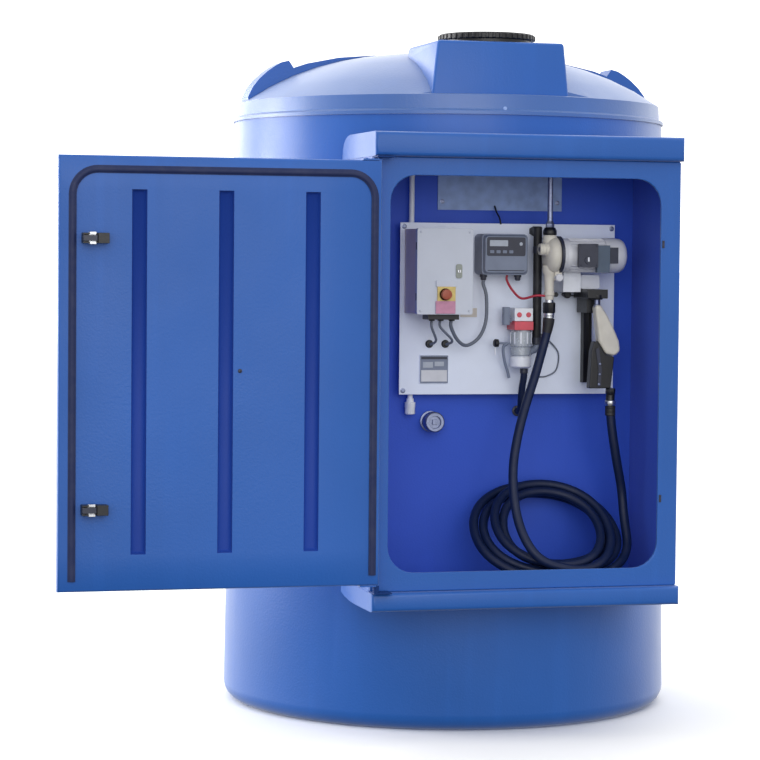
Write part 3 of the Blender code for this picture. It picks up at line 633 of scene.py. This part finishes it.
def build_hose():
    line = hose_line()
    data = bpy.data.curves.new("hose", "CURVE")
    data.dimensions = "3D"
    data.bevel_depth = HOSE_RADIUS
    data.bevel_resolution = 5
    data.use_fill_caps = True
    spline = data.splines.new("POLY")
    spline.points.add(len(line) - 1)
    for point, place in zip(spline.points, line):
        point.co = (*place, 1.0)
    data.materials.append(FINISHES["hose"])
    hose = placed("hose", data)
    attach(hose, "tank")
    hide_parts("hose_drop", "hose_coil", "hose_rise")
    return hose, line


def build_hose_ends(line):
    """Tapered bend sleeve under the pump's outlet, and the crimped end below the nozzle's swivel."""
    sleeve = Shape()
    head = line[:5]
    sleeve.tube(head, [0.0195, 0.019, 0.018, 0.0168, 0.0154], 0, 24)
    piece("hose_sleeve", sleeve, ("sleeve",), rounding=0.0006)
    ferrule = Shape()
    top = Vector((*line[-1][:2], RISE_ROUTE[-1][2]))
    ferrule.lathe(top, DOWN, [(0, 16), (1, 17.2), (8, 17.2), (9.5, 16.6), (12, 17.2), (20, 17.2),
            (21.5, 16.6), (24, 17.2), (30, 17.2), (32, 15.4)])
    piece("hose_ferrule", ferrule, ("sleeve",))


# Tank top

def build_lid():
    """Screw lid: gripping ribs round its edge, a raised rim, a dished middle and a cross handle."""
    centre = Vector((-0.0215, -0.522, 2.2623))
    lid = Shape()
    lid.lathe(centre, UP, [(0, 147.5), (12, 147.5)], 0, 64)
    lid.lathe(centre, UP, [(12, 156), (13, 159), (29, 159), (32.5, 155.5), (32.5, 140), (28.5, 137),
            (27.5, 50), (30, 45), (30, 10)], 0, 64)
    grip_levels = ((0.0125, 0.004), (0.0145, 0.006), (0.0265, 0.006), (0.0285, 0.004))
    for out, side in spokes(44):
        foot = centre + out * 0.157
        lid.bar([(foot + UP * level, height, 0.0065, 0.004) for level, height in grip_levels], side, out)
    handle = ((-0.134, 0.004), (-0.12, 0.0085), (0.12, 0.0085), (0.134, 0.004))
    foot = centre + UP * 0.026
    for along, side in list(spokes(4, math.radians(20)))[:2]:
        lid.bar([(foot + along * reach, height, 0.013, 0.009) for reach, height in handle], side, UP)
    piece("lid", lid, ("black",), rounding=0.001, stands_for=("inspection_lid",))


# Cabinet and door

def build_walls():
    """Side walls of the cabinet: the tank's own surface outside, and inside the interior blue with its
    painted light.
    """
    inner, middle, outer = 0.505, 0.511, 0.517
    front, back, low, high = -0.9227, -0.508, 0.4903, 1.8697
    for name, sign in (("left", -1), ("right", 1)):
        wall = Shape()
        for near, far, skin in ((outer, middle, 0), (middle, inner, 1)):
            x = sorted((sign * near, sign * far))
            wall.box((x[0], front, low), (x[1], back, high), skin)
        piece("cabinet_wall_" + name, wall, ("shell", "inner"),
              stands_for=("cabinet_side_" + name,))


def grown(value, centre, reach, rounded, inset):
    """Moves a coordinate out to the reach less the inset if it lies on the border of the door's face."""
    if abs(abs(value - centre) - (reach - rounded)) > 0.0001:
        return value
    return centre + math.copysign(reach - inset, value - centre)


def build_door():
    """Door leaf with its three pressed channels, rounded across and steep at their ends."""
    left, right, low, high = -1.521, -0.507, 0.522, 1.854
    front, back = -1.01, -0.975
    channel_half, channel_low, channel_high, depth = 0.0235, 0.634, 1.752, 0.022
    rounded = 0.006
    profile = [(-1.0, 0.0), (-0.94, 0.35), (-0.82, 0.68), (-0.62, 0.88), (-0.35, 0.98), (0.0, 1.0)]
    profile += [(-across, deep) for across, deep in reversed(profile[:-1])]
    columns = [(left + rounded, 0.0)]
    for centre in (-1.2725, -1.002, -0.728):
        columns += [(centre + channel_half * across, depth * deep) for across, deep in profile]
    columns.append((right - rounded, 0.0))
    end = 0.01
    rows = [(low + rounded, 0.0), (channel_low, 0.0), (channel_low + 0.3 * end, 0.65),
            (channel_low + end, 1.0), (channel_high - end, 1.0), (channel_high - 0.3 * end, 0.65),
            (channel_high, 0.0), (high - rounded, 0.0)]
    door = Shape()
    grid = [[door.mesh.verts.new((x, front + deep * share, z)) for x, deep in columns] for z, share in rows]
    for lower, upper in zip(grid, grid[1:]):
        for index in range(len(columns) - 1):
            corners = (lower[index], lower[index + 1], upper[index + 1], upper[index])
            face = door.mesh.faces.new(corners)
            # Faces set back from the door's front take the darker channel blue, as painted shade in the
            # channels
            face.material_index = any(front + 0.0001 < corner.co.y for corner in corners)
    rim = grid[0] + [row[-1] for row in grid[1:]] + grid[-1][-2::-1] + [row[0] for row in grid[-2:0:-1]]
    centre = Vector(((left + right) / 2, 0.0, (low + high) / 2))
    reach = Vector(((right - left) / 2, 0.0, (high - low) / 2))
    bend, offset = 0.0018, 0.0028
    levels = ((front + bend, offset), (front + rounded, 0.0), (back - rounded, 0.0), (back - bend, offset),
            (back, rounded))
    ring = rim
    for y, inset in levels:
        after = []
        for vert in rim:
            x = grown(vert.co.x, centre.x, reach.x, rounded, inset)
            z = grown(vert.co.z, centre.z, reach.z, rounded, inset)
            after.append(door.mesh.verts.new((x, y, z)))
        for corners in zip(ring, ring[1:] + ring[:1], after[1:] + after[:1], after):
            door.mesh.faces.new(corners)
        ring = after
    door.mesh.faces.new(ring)
    hinge_x, hinge_y, leaf = -0.5085, -0.978, 0.005
    for z in (low - leaf, high):
        door.box((hinge_x - 0.06, hinge_y - 0.03, z), (hinge_x - 0.007, hinge_y + 0.002, z + leaf))
        door.lathe((hinge_x, hinge_y, z), UP, [(0, 8.5), (1000 * leaf, 8.5)], 0, 24)
        for across in (-0.045, -0.022):
            height, out = (z + leaf, UP) if z > 1 else (z, DOWN)
            door.screw((hinge_x + across, hinge_y - 0.014, height), out, 4)
    piece("door_leaf", door, ("door", "channel"), "door",
          stands_for=("door_panel",), sharp=50)


def build_seal():
    """Bulb seal pressed round the door's inner face, open at the foot."""
    left, right, top, foot, bend = -1.478, -0.53, 1.812, 0.554, 0.078
    outline = [(left, foot)] + arc((left + bend, top - bend), bend, 180, 90, 12)
    outline += arc((right - bend, top - bend), bend, 90, 0, 12) + [(right, foot)]
    seal = Shape()
    section = [(-0.012, 0.0), (-0.0118, 0.0018), (-0.0085, 0.0022), (-0.007, 0.004), (-0.004, 0.0053),
            (0.0, 0.0055), (0.004, 0.0053), (0.007, 0.004), (0.0085, 0.0022), (0.0118, 0.0018),
            (0.012, 0.0)]
    seal.sweep([(x, DOOR_FACE, z) for x, z in outline], (0.0, -1.0, 0.0), section)
    piece("door_gasket", seal, ("seal",), "door", stands_for=("door_seal",), sharp=60)


def build_latch(name, height):
    """Latch with its black housing round the sliding bolt and a bright cam in the middle."""
    x, face = -1.411, DOOR_FACE
    latch = Shape()
    half = 0.016
    latch.box((x - 0.04, face - 0.027, height - half), (x + 0.04, face, height + half))
    latch.box((x - 0.04, face - 0.042, height + 0.0105), (x - 0.022, face - 0.027, height + half))
    latch.box((x - 0.04, face - 0.042, height - half), (x - 0.022, face - 0.027, height - 0.0105))
    latch.box((x + 0.0055, face - 0.042, height - half), (x + 0.04, face - 0.027, height + half))
    cam = x - 0.0105
    latch.box((cam - 0.011, face - 0.028, height - 0.019), (cam + 0.011, face - 0.026, height + 0.019), 1)
    for end in (-1, 1):
        latch.box((cam - 0.01, face - 0.042, height + end * 0.015 - 0.004),
                  (cam + 0.01, face - 0.027, height + end * 0.015 + 0.004), 1)
    piece("latch_housing_" + name, latch, ("black", "steel"), "door",
          rounding=0.0012, stands_for=("latch_" + name,))


def build_door_details():
    details = Shape()
    details.screw((-0.9573, -1.01, 1.1969), FRONT, 6.5)
    piece("door_rivet", details, ("dark",), "door")
    locks = Shape()
    for height in LATCH_LEVELS.values():
        at = (-1.4, -0.975, height)
        locks.lathe(at, BACK, [(0, 24), (3, 24), (4.5, 21.5)])
        locks.lathe(at, BACK, [(4.5, 11), (6.5, 10)], 1, 24)
        locks.box((-1.401, -0.9695, height - 0.005), (-1.399, -0.9675, height + 0.005))
    piece("door_locks", locks, ("dark", "zinc"), "door", rounding=0.0006)
    keepers = Shape()
    for height in LATCH_LEVELS.values():
        keepers.box((0.454, FRAME_FACE - 0.0016, height - 0.012), (0.462, FRAME_FACE, height + 0.012))
        for end in (-1, 1):
            keepers.screw((0.458, FRAME_FACE - 0.0016, height + end * 0.008), FRONT, 2.2)
    piece("keepers", keepers, ("dark",), rounding=0.0005)


# Equipment panel

def build_control_box():
    """Enclosure with its lid, lock, switch plates and gland strip."""
    box = Shape()
    left, right, low, high = -0.313, -0.1235, 1.3675, 1.648
    # Body of the enclosure in its warm colour, painted light against the blue light bounced from the walls
    box.box((left + 0.002, -0.708, low + 0.002), (right - 0.002, PANEL_FACE - GAP, high - 0.002), 1)
    box.box((left + 0.0045, -0.7105, low + 0.0045), (right - 0.0045, -0.7075, high - 0.0045), 2)
    box.plate((left, right), (low, high), 0.006, -0.73, -0.7105, 0, 3)
    box.box((-0.249, -0.7353, 1.4585), (-0.18, -0.7295, 1.478))
    box.box((-0.2445, -0.7353, 1.4115), (-0.1835, -0.7295, 1.4585), 3)
    box.box((-0.25, -0.7353, 1.3705), (-0.1835, -0.7295, 1.4115), 4)
    box.lathe((-0.218, -0.7353, 1.433), FRONT, [(-4, 21.5), (0, 20.5)], 4)
    for x in (left + 0.012, right - 0.012):
        for z in (low + 0.012, high - 0.012):
            box.screw((x, -0.73, z), FRONT, 4)
    box.plate((-0.182, -0.161), (1.486, 1.532), 0.006, -0.7335, -0.7295, 5, 3)
    box.lathe((-0.1715, -0.7335, 1.509), FRONT, [(0, 6.2), (3.5, 5.8)], 6, 20)
    box.box((-0.1725, -0.7375, 1.5035), (-0.1705, -0.736, 1.5145), 2)
    box.box((-0.268, -0.706, 1.3505), (-0.162, -0.64, 1.367), 2)
    for x in (-0.245, -0.215, -0.177):
        box.lathe((x, -0.67, 1.352), DOWN, [(0, 10.5), (6, 10.5), (7, 8)], 2, 6)
    for height in (1.425, 1.59):
        box.lathe((left + 0.0005, -0.72, height - 0.012), UP, [(0, 2.2), (24, 2.2)], 2, 12)
    piece("control_enclosure", box, ("lid", "box", "black", "yellow", "pink", "lock", "steel"),
            rounding=0.0014, stands_for=("control_box",))


def build_display():
    """Display unit: soft-cornered case, darker top band with its window, and a row of keys."""
    unit = Shape()
    left, right, low, high = -0.0705, 0.0885, 1.4975, 1.633
    unit.plate((left, right), (low, high), 0.015, -0.654, PANEL_FACE - GAP)
    unit.plate((left + 0.0035, right - 0.0035), (low + 0.0035, high - 0.0035), 0.012, -0.668, -0.6538,
            inset=0.0045)
    unit.plate((left + 0.013, right - 0.013), (1.56, 1.622), 0.006, -0.669, -0.667, 1)
    unit.plate((-0.048, 0.015), (1.592, 1.612), 0.002, -0.6696, -0.6685, 2)
    unit.lathe((0.06, -0.669, 1.6), FRONT, [(0, 6), (0.8, 5.5)], 2, 20)
    for key in range(4):
        x = -0.04 + key * 0.022
        unit.plate((x - 0.007, x + 0.007), (1.569, 1.579), 0.002, -0.67, -0.6685, 0, 3)
    unit.box((left + 0.016, -0.6688, 1.5105), (right - 0.016, -0.6672, 1.5135), 1)
    for x in (-0.051, 0.068):
        unit.lathe((x, -0.61, 1.499), DOWN, [(0, 12.5), (9, 12.5), (9.5, 10), (17, 9.5), (20.5, 6.5)],
                1, 16)
    piece("display_case", unit, ("housing", "dark", "window"),
          rounding=0.001, stands_for=("display_unit",))


def build_panel_details():
    """Panel bolts, the bare plate, the bare label, cable grommets and the loose wires."""
    bolts = Shape()
    for x in (-0.3135, 0.411):
        for z in (1.112, 1.655):
            bolts.bolt((x, PANEL_FACE, z), FRONT, 4.5)
    for z in (1.74, 1.834):
        for x in (-0.17, 0.233):
            bolts.bolt((x, BACK_FACE - 0.0043, z), FRONT, 4)
    piece("panel_bolts", bolts, ("zinc",))
    plates = Shape()
    plates.box((-0.2555, -0.5746, 1.1365), (-0.1595, -0.5738, 1.2285))
    plates.box((-0.252, -0.5752, 1.216), (-0.163, -0.5744, 1.224), 1)
    plates.box((-0.246, -0.5752, 1.188), (-0.212, -0.5744, 1.207), 2)
    plates.box((-0.206, -0.5752, 1.193), (-0.174, -0.5744, 1.208), 2)
    plates.box((-0.252, -0.575, 1.142), (-0.163, -0.5744, 1.18), 3)
    plates.box((-0.118, -0.5712, 1.356), (-0.06, -0.57, 1.386), 4)
    piece("bare_plates", plates, ("housing", "dark", "window", "motor", "beige"),
            rounding=0.0003)
    grommets = Shape()
    for x in (-0.224, -0.169):
        grommets.lathe((x, PANEL_FACE, 1.267), FRONT, [(0, 13.5), (3, 13.5), (6, 11), (12, 10), (13, 6)],
                0, 24)
    piece("grommets", grommets, ("black",))
    wires = Shape()
    wires.tube(smooth_route([(0.0117, -0.5265, 1.727), (0.013, -0.545, 1.706), (0.0165, -0.565, 1.688),
            (0.0193, -0.573, 1.666)]), 0.0028, 0, 10)
    wires.tube(smooth_route([(0.115, -0.5735, 1.3), (0.16, -0.58, 1.3), (0.2066, -0.576, 1.2635),
            (0.2265, -0.575, 1.2299), (0.2183, -0.5745, 1.1796), (0.1867, -0.5735, 1.1595),
            (0.16, -0.5715, 1.156)]), 0.0024, 1, 10)
    piece("wires", wires, ("black", "grey_cable"))


def build_cables():
    """Short fixed cables between the boxes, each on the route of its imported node."""
    face = PANEL_FACE - 2 * GAP
    for name, start_x, end_x in (("left", -0.245, -0.224), ("middle", -0.215, -0.169)):
        route = [(start_x, -0.67, 1.3497), (start_x, -0.67, 1.325), (end_x, -0.65, 1.282),
                (end_x, -0.597, 1.267), (end_x, face, 1.267)]
        cable = Shape()
        cable.tube(smooth_route(route), 0.0042)
        piece("lead_" + name, cable, ("grey_cable",), stands_for=("cable_" + name,))
    loop = Shape()
    loop.tube(smooth_route([(-0.177, -0.665, 1.3497), (-0.177, -0.665, 1.325), (-0.15, -0.65, 1.282),
            (-0.112, -0.63, 1.264), (-0.068, -0.622, 1.29), (-0.044, -0.62, 1.345),
            (-0.042, -0.616, 1.425), (-0.051, -0.61, 1.465), (-0.051, -0.61, 1.4777)]), 0.0058)
    piece("lead_loop", loop, ("grey_cable",), stands_for=("cable_loop",))
    red = Shape()
    red.tube(smooth_route([(0.0275, -0.62, 1.4972), (0.0275, -0.62, 1.48), (0.04, -0.64, 1.448),
            (0.066, -0.662, 1.4205), (0.105, -0.69, 1.43), (0.1374, -0.69, 1.43)]), 0.004)
    piece("lead_red", red, ("red_cable",), stands_for=("cable_red",))


# Pump set

def build_pump():
    """Pump: rounded volute with its dark flange ring, side boss, barrel, relief knobs and bracket."""
    x, y = PUMP_AXIS
    pump = Shape()
    pump.lathe((0.135, y, PUMP_LEVEL), RIGHT, [(0, 30), (4, 44), (11, 55), (20, 60), (28, 61.5), (36, 60.5),
            (42, 56), (44, 50)], 0, 40)
    pump.lathe((0.178, y, PUMP_LEVEL), RIGHT, [(0, 61), (1, 63), (9, 63), (10, 60)], 3, 40)
    pump.lathe((0.187, y, PUMP_LEVEL), RIGHT, [(0, 56), (10.8, 56)], 1, 40)
    for out, _ in spokes(8, math.pi / 8):
        pump.bolt((0.187, y + 0.0585 * out.x, PUMP_LEVEL + 0.0585 * out.y), RIGHT, 2.2, 2)
    pump.lathe((x, y, 1.53), DOWN, [(0, 24), (20, 23.5), (30, 19), (50, 16.5), (86, 15), (88, 17.2),
            (98, 17.2), (100, 15), (113, 14.5)])
    pump.lathe((x, y, 1.6), UP, [(0, 24), (24, 24), (30, 20.5)])
    pump.lathe((0.14, -0.706, 1.583), LEFT, [(0, 22.5), (10, 22.2), (12, 20), (22, 20), (23.5, 18.5),
            (29, 18)])
    pump.lathe((0.1115, -0.706, 1.583), LEFT, [(0, 9), (1, 8.5)], 3, 6)
    pump.box((0.158, y, 1.52), (0.192, PANEL_FACE - GAP, 1.605), 1)
    pump.lathe((0.176, -0.7255, 1.49), FRONT, [(-50, 13), (0, 13), (3, 10)], 1, 24)
    pump.box((0.164, -0.715, 1.482), (0.188, -0.69, 1.53))
    piece("pump_housing", pump, ("cream", "motor", "steel", "dark"),
          rounding=0.001, stands_for=("pump_body",))


def build_motor():
    """Motor: ribbed barrel, rounded fan cover with its dark recess, and its foot."""
    y, z = -0.69, 1.5643
    start = 0.1983
    motor = Shape()
    motor.lathe((start, y, z), RIGHT, [(0, 56), (10, 56)], 0, 48)
    motor.lathe((start + 0.0095, y, z), RIGHT, [(0, 56), (3, 56.5), (10, 53.5), (140, 53)], 0, 48)
    for level_out, level_side in spokes(28):
        out, side = Vector((0.0, *level_out.xy)), Vector((0.0, *level_side.xy))
        facing_box = out.y < -0.8
        if not facing_box:
            foot = Vector((0.0, y, z)) + out * 0.052
            motor.bar([(foot + RIGHT * along, 0.0042, 0.0012, 0.0008) for along in (0.213, 0.333)], side, out)
    motor.lathe((0.334, y, z), RIGHT, [(0, 56), (2, 58.3), (40, 58.3), (58, 56), (70, 49), (76.5, 38),
            (76.8, 30), (74, 29), (73.5, 10)], 0, 48)
    motor.box((0.343, y - 0.059, z - 0.026), (0.372, y - 0.05, z + 0.027), 1)
    motor.box((0.209, -0.668, 1.4423), (0.27, PANEL_FACE - GAP, 1.52), 2)
    piece("motor", motor, ("motor", "dark", "white"),
          rounding=0.0008, stands_for=("pump_motor",))
    terminal = Shape()
    terminal.box((0.231, -0.7585, 1.5265), (0.294, -0.7443, 1.601))
    terminal.box((0.2295, -0.766, 1.525), (0.2955, -0.759, 1.6025))
    terminal.lathe((0.261, -0.766, 1.548), FRONT, [(0, 13), (3, 12)], 0, 24)
    terminal.box((0.2585, -0.7705, 1.544), (0.264, -0.768, 1.558), 1)
    terminal.box((0.296, -0.757, 1.508), (0.34, -0.738, 1.598), 2)
    for x in (0.236, 0.289):
        for z in (1.532, 1.595):
            terminal.screw((x, -0.766, z), FRONT, 2.8)
    piece("terminal_cover", terminal, ("dark", "white", "slate"),
          rounding=0.002, stands_for=("terminal_box",))


def build_supply():
    """Pipe from the cabinet's roof with its union and black cap above the pump."""
    x, y = PUMP_AXIS
    supply = Shape()
    supply.lathe((x, y, 1.65), UP, [(0, 9), (219.7, 9)], 0, 24)
    supply.lathe((x, y, 1.655), UP, [(0, 14), (2, 15), (13, 15), (15, 13), (20, 12), (22, 9.5)], 0, 6)
    supply.lathe((x, y, 1.6303), UP, [(0, 21.5), (2, 22.6), (14, 22.6), (18, 20.5), (24.7, 17)], 1, 10)
    supply.lathe((x, y, 1.85), UP, [(0, 9.5), (4, 18), (19.7, 18)], 0, 24)
    piece("supply_line", supply, ("zinc", "black"), rounding=0.0008,
          stands_for=("supply_pipe",))
    vent = Shape()
    x, y = -0.2815, -0.545
    vent.lathe((x, y, 1.06), UP, [(0, 9), (809.7, 9)], 0, 24)
    vent.lathe((x, y, 1.032), UP, [(0, 15), (2, 17), (22, 17), (24, 18), (40, 18), (42, 13), (53, 12)],
            0, 10)
    vent.lathe((x, y, 1.848), UP, [(0, 9.5), (3, 17.5), (21.7, 17.5)], 0, 24)
    piece("vent_line", vent, ("white",), rounding=0.0008, stands_for=("vent_pipe",))


def build_valve():
    """Filter: red-banded head, milky bowl in its cage, elbow to the riser hose, drain arm and knob."""
    x, y = 0.079, -0.62
    head = Shape()
    head.box((0.046, -0.652, 1.345), (0.11, PANEL_FACE - GAP, 1.388), 1)
    head.box((0.045, -0.655, 1.315), (0.111, PANEL_FACE - GAP, 1.344))
    for cap_x in (0.062, 0.094):
        head.lathe((cap_x, -0.652, 1.366), FRONT, [(0, 9), (3, 8)], 0, 20)
    head.box((0.0165, -0.63, 1.331), (0.037, -0.606, 1.391), 2)
    head.box((0.033, -0.624, 1.34), (0.047, -0.612, 1.356), 2)
    piece("filter_head", head, ("red", "white", "housing"), rounding=0.002,
          stands_for=("valve_head",))
    bowl = Shape()
    low = 1.188
    bowl.lathe((x, y, low), UP, [(0, 26), (2, 30), (6, 35.5), (36, 35.5), (40, 31)], 1, 40)
    bowl.lathe((x, y, 1.228), UP, [(0, 31), (4, 34.5), (26, 34.5), (30, 32.5), (34, 36), (76, 36.5),
            (80, 34), (86.7, 32)], 0, 40)
    for out, side in spokes(10):
        foot = Vector((x, y, 0.0)) + out * 0.0355
        bowl.bar([(foot + UP * level, 0.002, 0.003, 0.0022) for level in (1.27, 1.308)], side, out, 1)
    elbow_z = 1.2465
    riser_x, riser_y = RISER_AXIS
    bowl.tube(smooth_route([(x + 0.02, riser_y, elbow_z), (0.108, riser_y, elbow_z),
            (0.126, riser_y, elbow_z + 0.003), (riser_x, riser_y, elbow_z + 0.012),
            (riser_x, riser_y, 1.2665)], 6), 0.0125, 2, 20)
    bowl.lathe((0.11, riser_y, elbow_z), RIGHT, [(0, 15), (8, 15)], 2, 6)
    bowl.lathe((x - 0.02, riser_y, 1.271), LEFT, [(0, 4), (64, 4)], 2, 16)
    bowl.lathe((0.002, riser_y, 1.271), LEFT, [(0, 9), (2, 13), (13, 13.8), (17.5, 9)], 3, 24)
    bowl.box((-0.012, riser_y - 0.002, 1.231), (-0.009, riser_y + 0.002, 1.264), 1)
    bowl.tube(smooth_route([(0.032, riser_y, 1.27), (0.02, -0.612, 1.256), (0.026, -0.606, 1.215),
            (0.04, -0.6, 1.175), (0.0454, -0.598, 1.1547)], 8), 0.005, 2, 12)
    piece("filter_bowl", bowl, ("bowl", "white", "housing", "black"),
          rounding=0.0008, stands_for=("valve_bowl",))


def build_fixed_hoses():
    """Riser from the panel's top edge to the filter, and the hose from the filter to the back wall."""
    riser = Shape()
    x, y = RISER_AXIS
    riser.tube([(x, y, 1.2668), (x, y, 1.42), (x, y, 1.574)], 0.0146, 0, 20)
    riser.tube([(x, y, 1.5736), (x, y, 1.64), (x, y, 1.656), (x, y, 1.6595)],
            [0.0146, 0.0146, 0.014, 0.011], 0, 20)
    riser.tube([(x, y, 1.644), (x, -0.595, 1.644), (x, -0.5706, 1.644)], 0.014, 0, 20)
    for z in (1.2668, 1.57):
        riser.lathe((x, y, z), UP, [(0, 15), (1, 15.8), (22, 15.8), (23, 15)], 1, 24)
    riser.lathe((x, -0.5706, 1.644), FRONT, [(0, 17), (6, 17), (6.5, 15)], 1, 6)
    piece("riser_line", riser, ("sleeve", "dark"), stands_for=("riser_hose",))
    returned = Shape()
    route = smooth_route([(0.092, -0.615, 1.1877), (0.092, -0.615, 1.16), (0.089, -0.606, 1.12),
            (0.09, -0.594, 1.08), (0.096, -0.572, 1.048), (0.1, -0.548, 1.04),
            (0.1, BACK_FACE - 2 * GAP, 1.04)], 10)
    returned.tube(route, 0.0115, 0, 18)
    returned.lathe((0.092, -0.615, 1.1877), DOWN, [(0, 13.5), (16, 13.5), (18, 12)], 1, 20)
    returned.lathe((0.1, BACK_FACE - GAP, 1.04), FRONT, [(0, 18), (4, 17.5), (6, 13)], 1, 24)
    piece("return_line", returned, ("hose", "dark"), stands_for=("filter_hose",))


def build_outlet():
    """Swivel outlet under the pump: turned neck, hexagon nut and bright lower collar."""
    x, y = PUMP_AXIS
    outlet = Shape()
    outlet.lathe((x, y, 1.4167), DOWN, [(0, 14), (9, 15), (45, 15)], 0, 28)
    outlet.lathe((x, y, 1.408), DOWN, [(0, 19), (2, 20.8), (32, 20.8), (35, 19)], 1, 8)
    outlet.lathe((x, y, 1.3725), DOWN, [(0, 17), (1, 18), (7, 18), (8, 16.5), (11, 16.5), (12, 17.8),
            (16.5, 17.8)], 0, 28)
    piece("hose_outlet", outlet, ("steel", "black"), rounding=0.0008,
          stands_for=("pump_outlet",))


def build_nozzle():
    """Nozzle hung in its holster: light cover, black grip with its lever, bright spout and swivel."""
    body = Shape()
    outline = [(0.2985, 1.386), (0.3005, 1.4013), (0.3185, 1.4013), (0.34, 1.3697), (0.3619, 1.3297),
            (0.3837, 1.2819), (0.3884, 1.25), (0.376, 1.2365), (0.3633, 1.233), (0.3375, 1.239),
            (0.3117, 1.2818), (0.3055, 1.3378)]
    body.prism(outline, -0.738, -0.698)
    piece("nozzle_cover", body, ("cream",), rounding=0.012,
          stands_for=("nozzle_body",), segments=4)
    fittings = Shape()
    fittings.lathe((0.3095, -0.718, 1.39), UP, [(0, 10.5), (12, 10.5), (14, 8), (32.2, 8)], 0, 24)
    fittings.lathe((0.318, -0.7375, 1.383), FRONT, [(-4, 5.5), (0.3, 5)], 1, 16)
    piece("nozzle_spout", fittings, ("zinc", "steel"), rounding=0.0006)
    grip = Shape()
    outline = [(0.2815, 1.125), (0.356, 1.125), (0.3676, 1.2262), (0.364, 1.2315), (0.3368, 1.2375),
            (0.31, 1.28), (0.2975, 1.28), (0.2886, 1.25)]
    grip.prism(outline, -0.735, -0.701)
    piece("nozzle_handle", grip, ("black",), rounding=0.008, segments=3,
          stands_for=("nozzle_grip",))
    trims = Shape()
    lever = [(0.301, 1.255), (0.312, 1.26), (0.323, 1.19), (0.32, 1.132), (0.308, 1.132), (0.311, 1.19)]
    trims.prism(lever, -0.7385, -0.734)
    for x, z in ((0.316, 1.206), (0.315, 1.172), (0.313, 1.139)):
        trims.screw((x, -0.7385, z), FRONT, 4.2, 1)
    piece("nozzle_lever", trims, ("dark", "zinc"), rounding=0.0012)
    swivel = Shape()
    x, y = 0.361, -0.718
    swivel.lathe((x, y, 1.1247), DOWN, [(0, 15), (3, 16.5), (18, 16.5), (20, 15), (24, 15)], 0, 8)
    swivel.lathe((x, y, 1.102), DOWN, [(0, 15), (18, 14.5), (19, 15)], 0, 28)
    swivel.lathe((x, y, 1.085), DOWN, [(0, 16), (2, 18.2), (3.5, 18.5), (14, 18.5), (16, 17.5),
            (18.7, 16.5)], 1, 28)
    return piece("nozzle_joint", swivel, ("black", "steel"), rounding=0.0006,
            stands_for=("nozzle_swivel",))


def build_holster():
    """Holster rail with its two edges, the hook round the spout, its light box and the small knobs."""
    holster = Shape()
    face = PANEL_FACE - GAP
    holster.box((0.305, -0.588, 1.138), (0.335, face, 1.46))
    for x in (0.305, 0.331):
        holster.box((x, -0.6, 1.138), (x + 0.004, -0.586, 1.46))
    holster.box((0.272, -0.735, 1.4225), (0.342, -0.59, 1.452))
    holster.box((0.284, -0.69, 1.374), (0.332, -0.59, 1.424))
    holster.lathe((0.3095, -0.718, 1.4225), DOWN, [(-12, 20), (0, 20), (4, 18)], 0, 24)
    holster.plate((0.275, 0.343), (1.4525, 1.5), 0.008, -0.65, face, 1, 4)
    piece("nozzle_rest", holster, ("black", "white"), rounding=0.0015,
          stands_for=("nozzle_holster",))
    knobs = Shape()
    knobs.lathe((0.202, face, 1.433), FRONT, [(0, 5), (30, 5), (32, 8), (44, 8), (46, 6)], 0, 20)
    knobs.lathe((0.242, face, 1.433), FRONT, [(0, 6), (30, 6), (32, 12), (46, 12), (49, 9)], 0, 24)
    knobs.lathe((0.242, -0.606, 1.43), Vector((0.758, 0.0, -0.003)), [(0, 2.2), (64, 2.2)], 0, 12)
    piece("valve_knobs", knobs, ("black",))


def build_drain():
    """Drain coupling: flange on the back wall, ribbed body and a plugged end."""
    x, z = -0.205, 1.007
    drain = Shape()
    drain.lathe((x, BACK_FACE - GAP, z), FRONT, [(0, 35), (6, 35), (8, 29), (30, 29), (32, 34), (60, 34),
            (64.5, 30), (64.5, 21), (56, 20)], 0, 40)
    drain.lathe((x, -0.5765, z), FRONT, [(0, 12), (6, 11)], 0, 4)
    piece("drain_plug", drain, ("zinc",), rounding=0.0006, stands_for=("drain_coupling",))


def build_small_parts():
    plug = Shape()
    plug.lathe((-0.0241, -0.744, 2.04), FRONT, [(-10, 6.5), (1.5, 6.5), (3, 5)], 0, 24)
    piece("shoulder_plug", plug, ("plate",))


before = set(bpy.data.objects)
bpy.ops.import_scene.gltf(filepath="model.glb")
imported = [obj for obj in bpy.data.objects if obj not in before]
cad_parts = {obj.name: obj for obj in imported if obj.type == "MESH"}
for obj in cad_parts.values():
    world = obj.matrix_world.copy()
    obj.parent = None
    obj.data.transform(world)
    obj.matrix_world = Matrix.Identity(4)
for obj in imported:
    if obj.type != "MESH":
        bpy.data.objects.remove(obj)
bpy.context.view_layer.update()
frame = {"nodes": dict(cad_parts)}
build_camera()
FINISHES.update(build_finishes())
hose, hose_path = build_hose()
nozzle_joint = build_nozzle()
build_hose_ends(hose_path)
build_light()
build_floor()
dress_packed_nodes(frame)
build_lid()
build_walls()
build_door()
build_seal()
for latch_name, latch_level in LATCH_LEVELS.items():
    build_latch(latch_name, latch_level)
build_door_details()
build_control_box()
build_display()
build_panel_details()
build_cables()
build_pump()
build_motor()
build_supply()
build_valve()
build_fixed_hoses()
build_outlet()
build_holster()
build_drain()
build_small_parts()
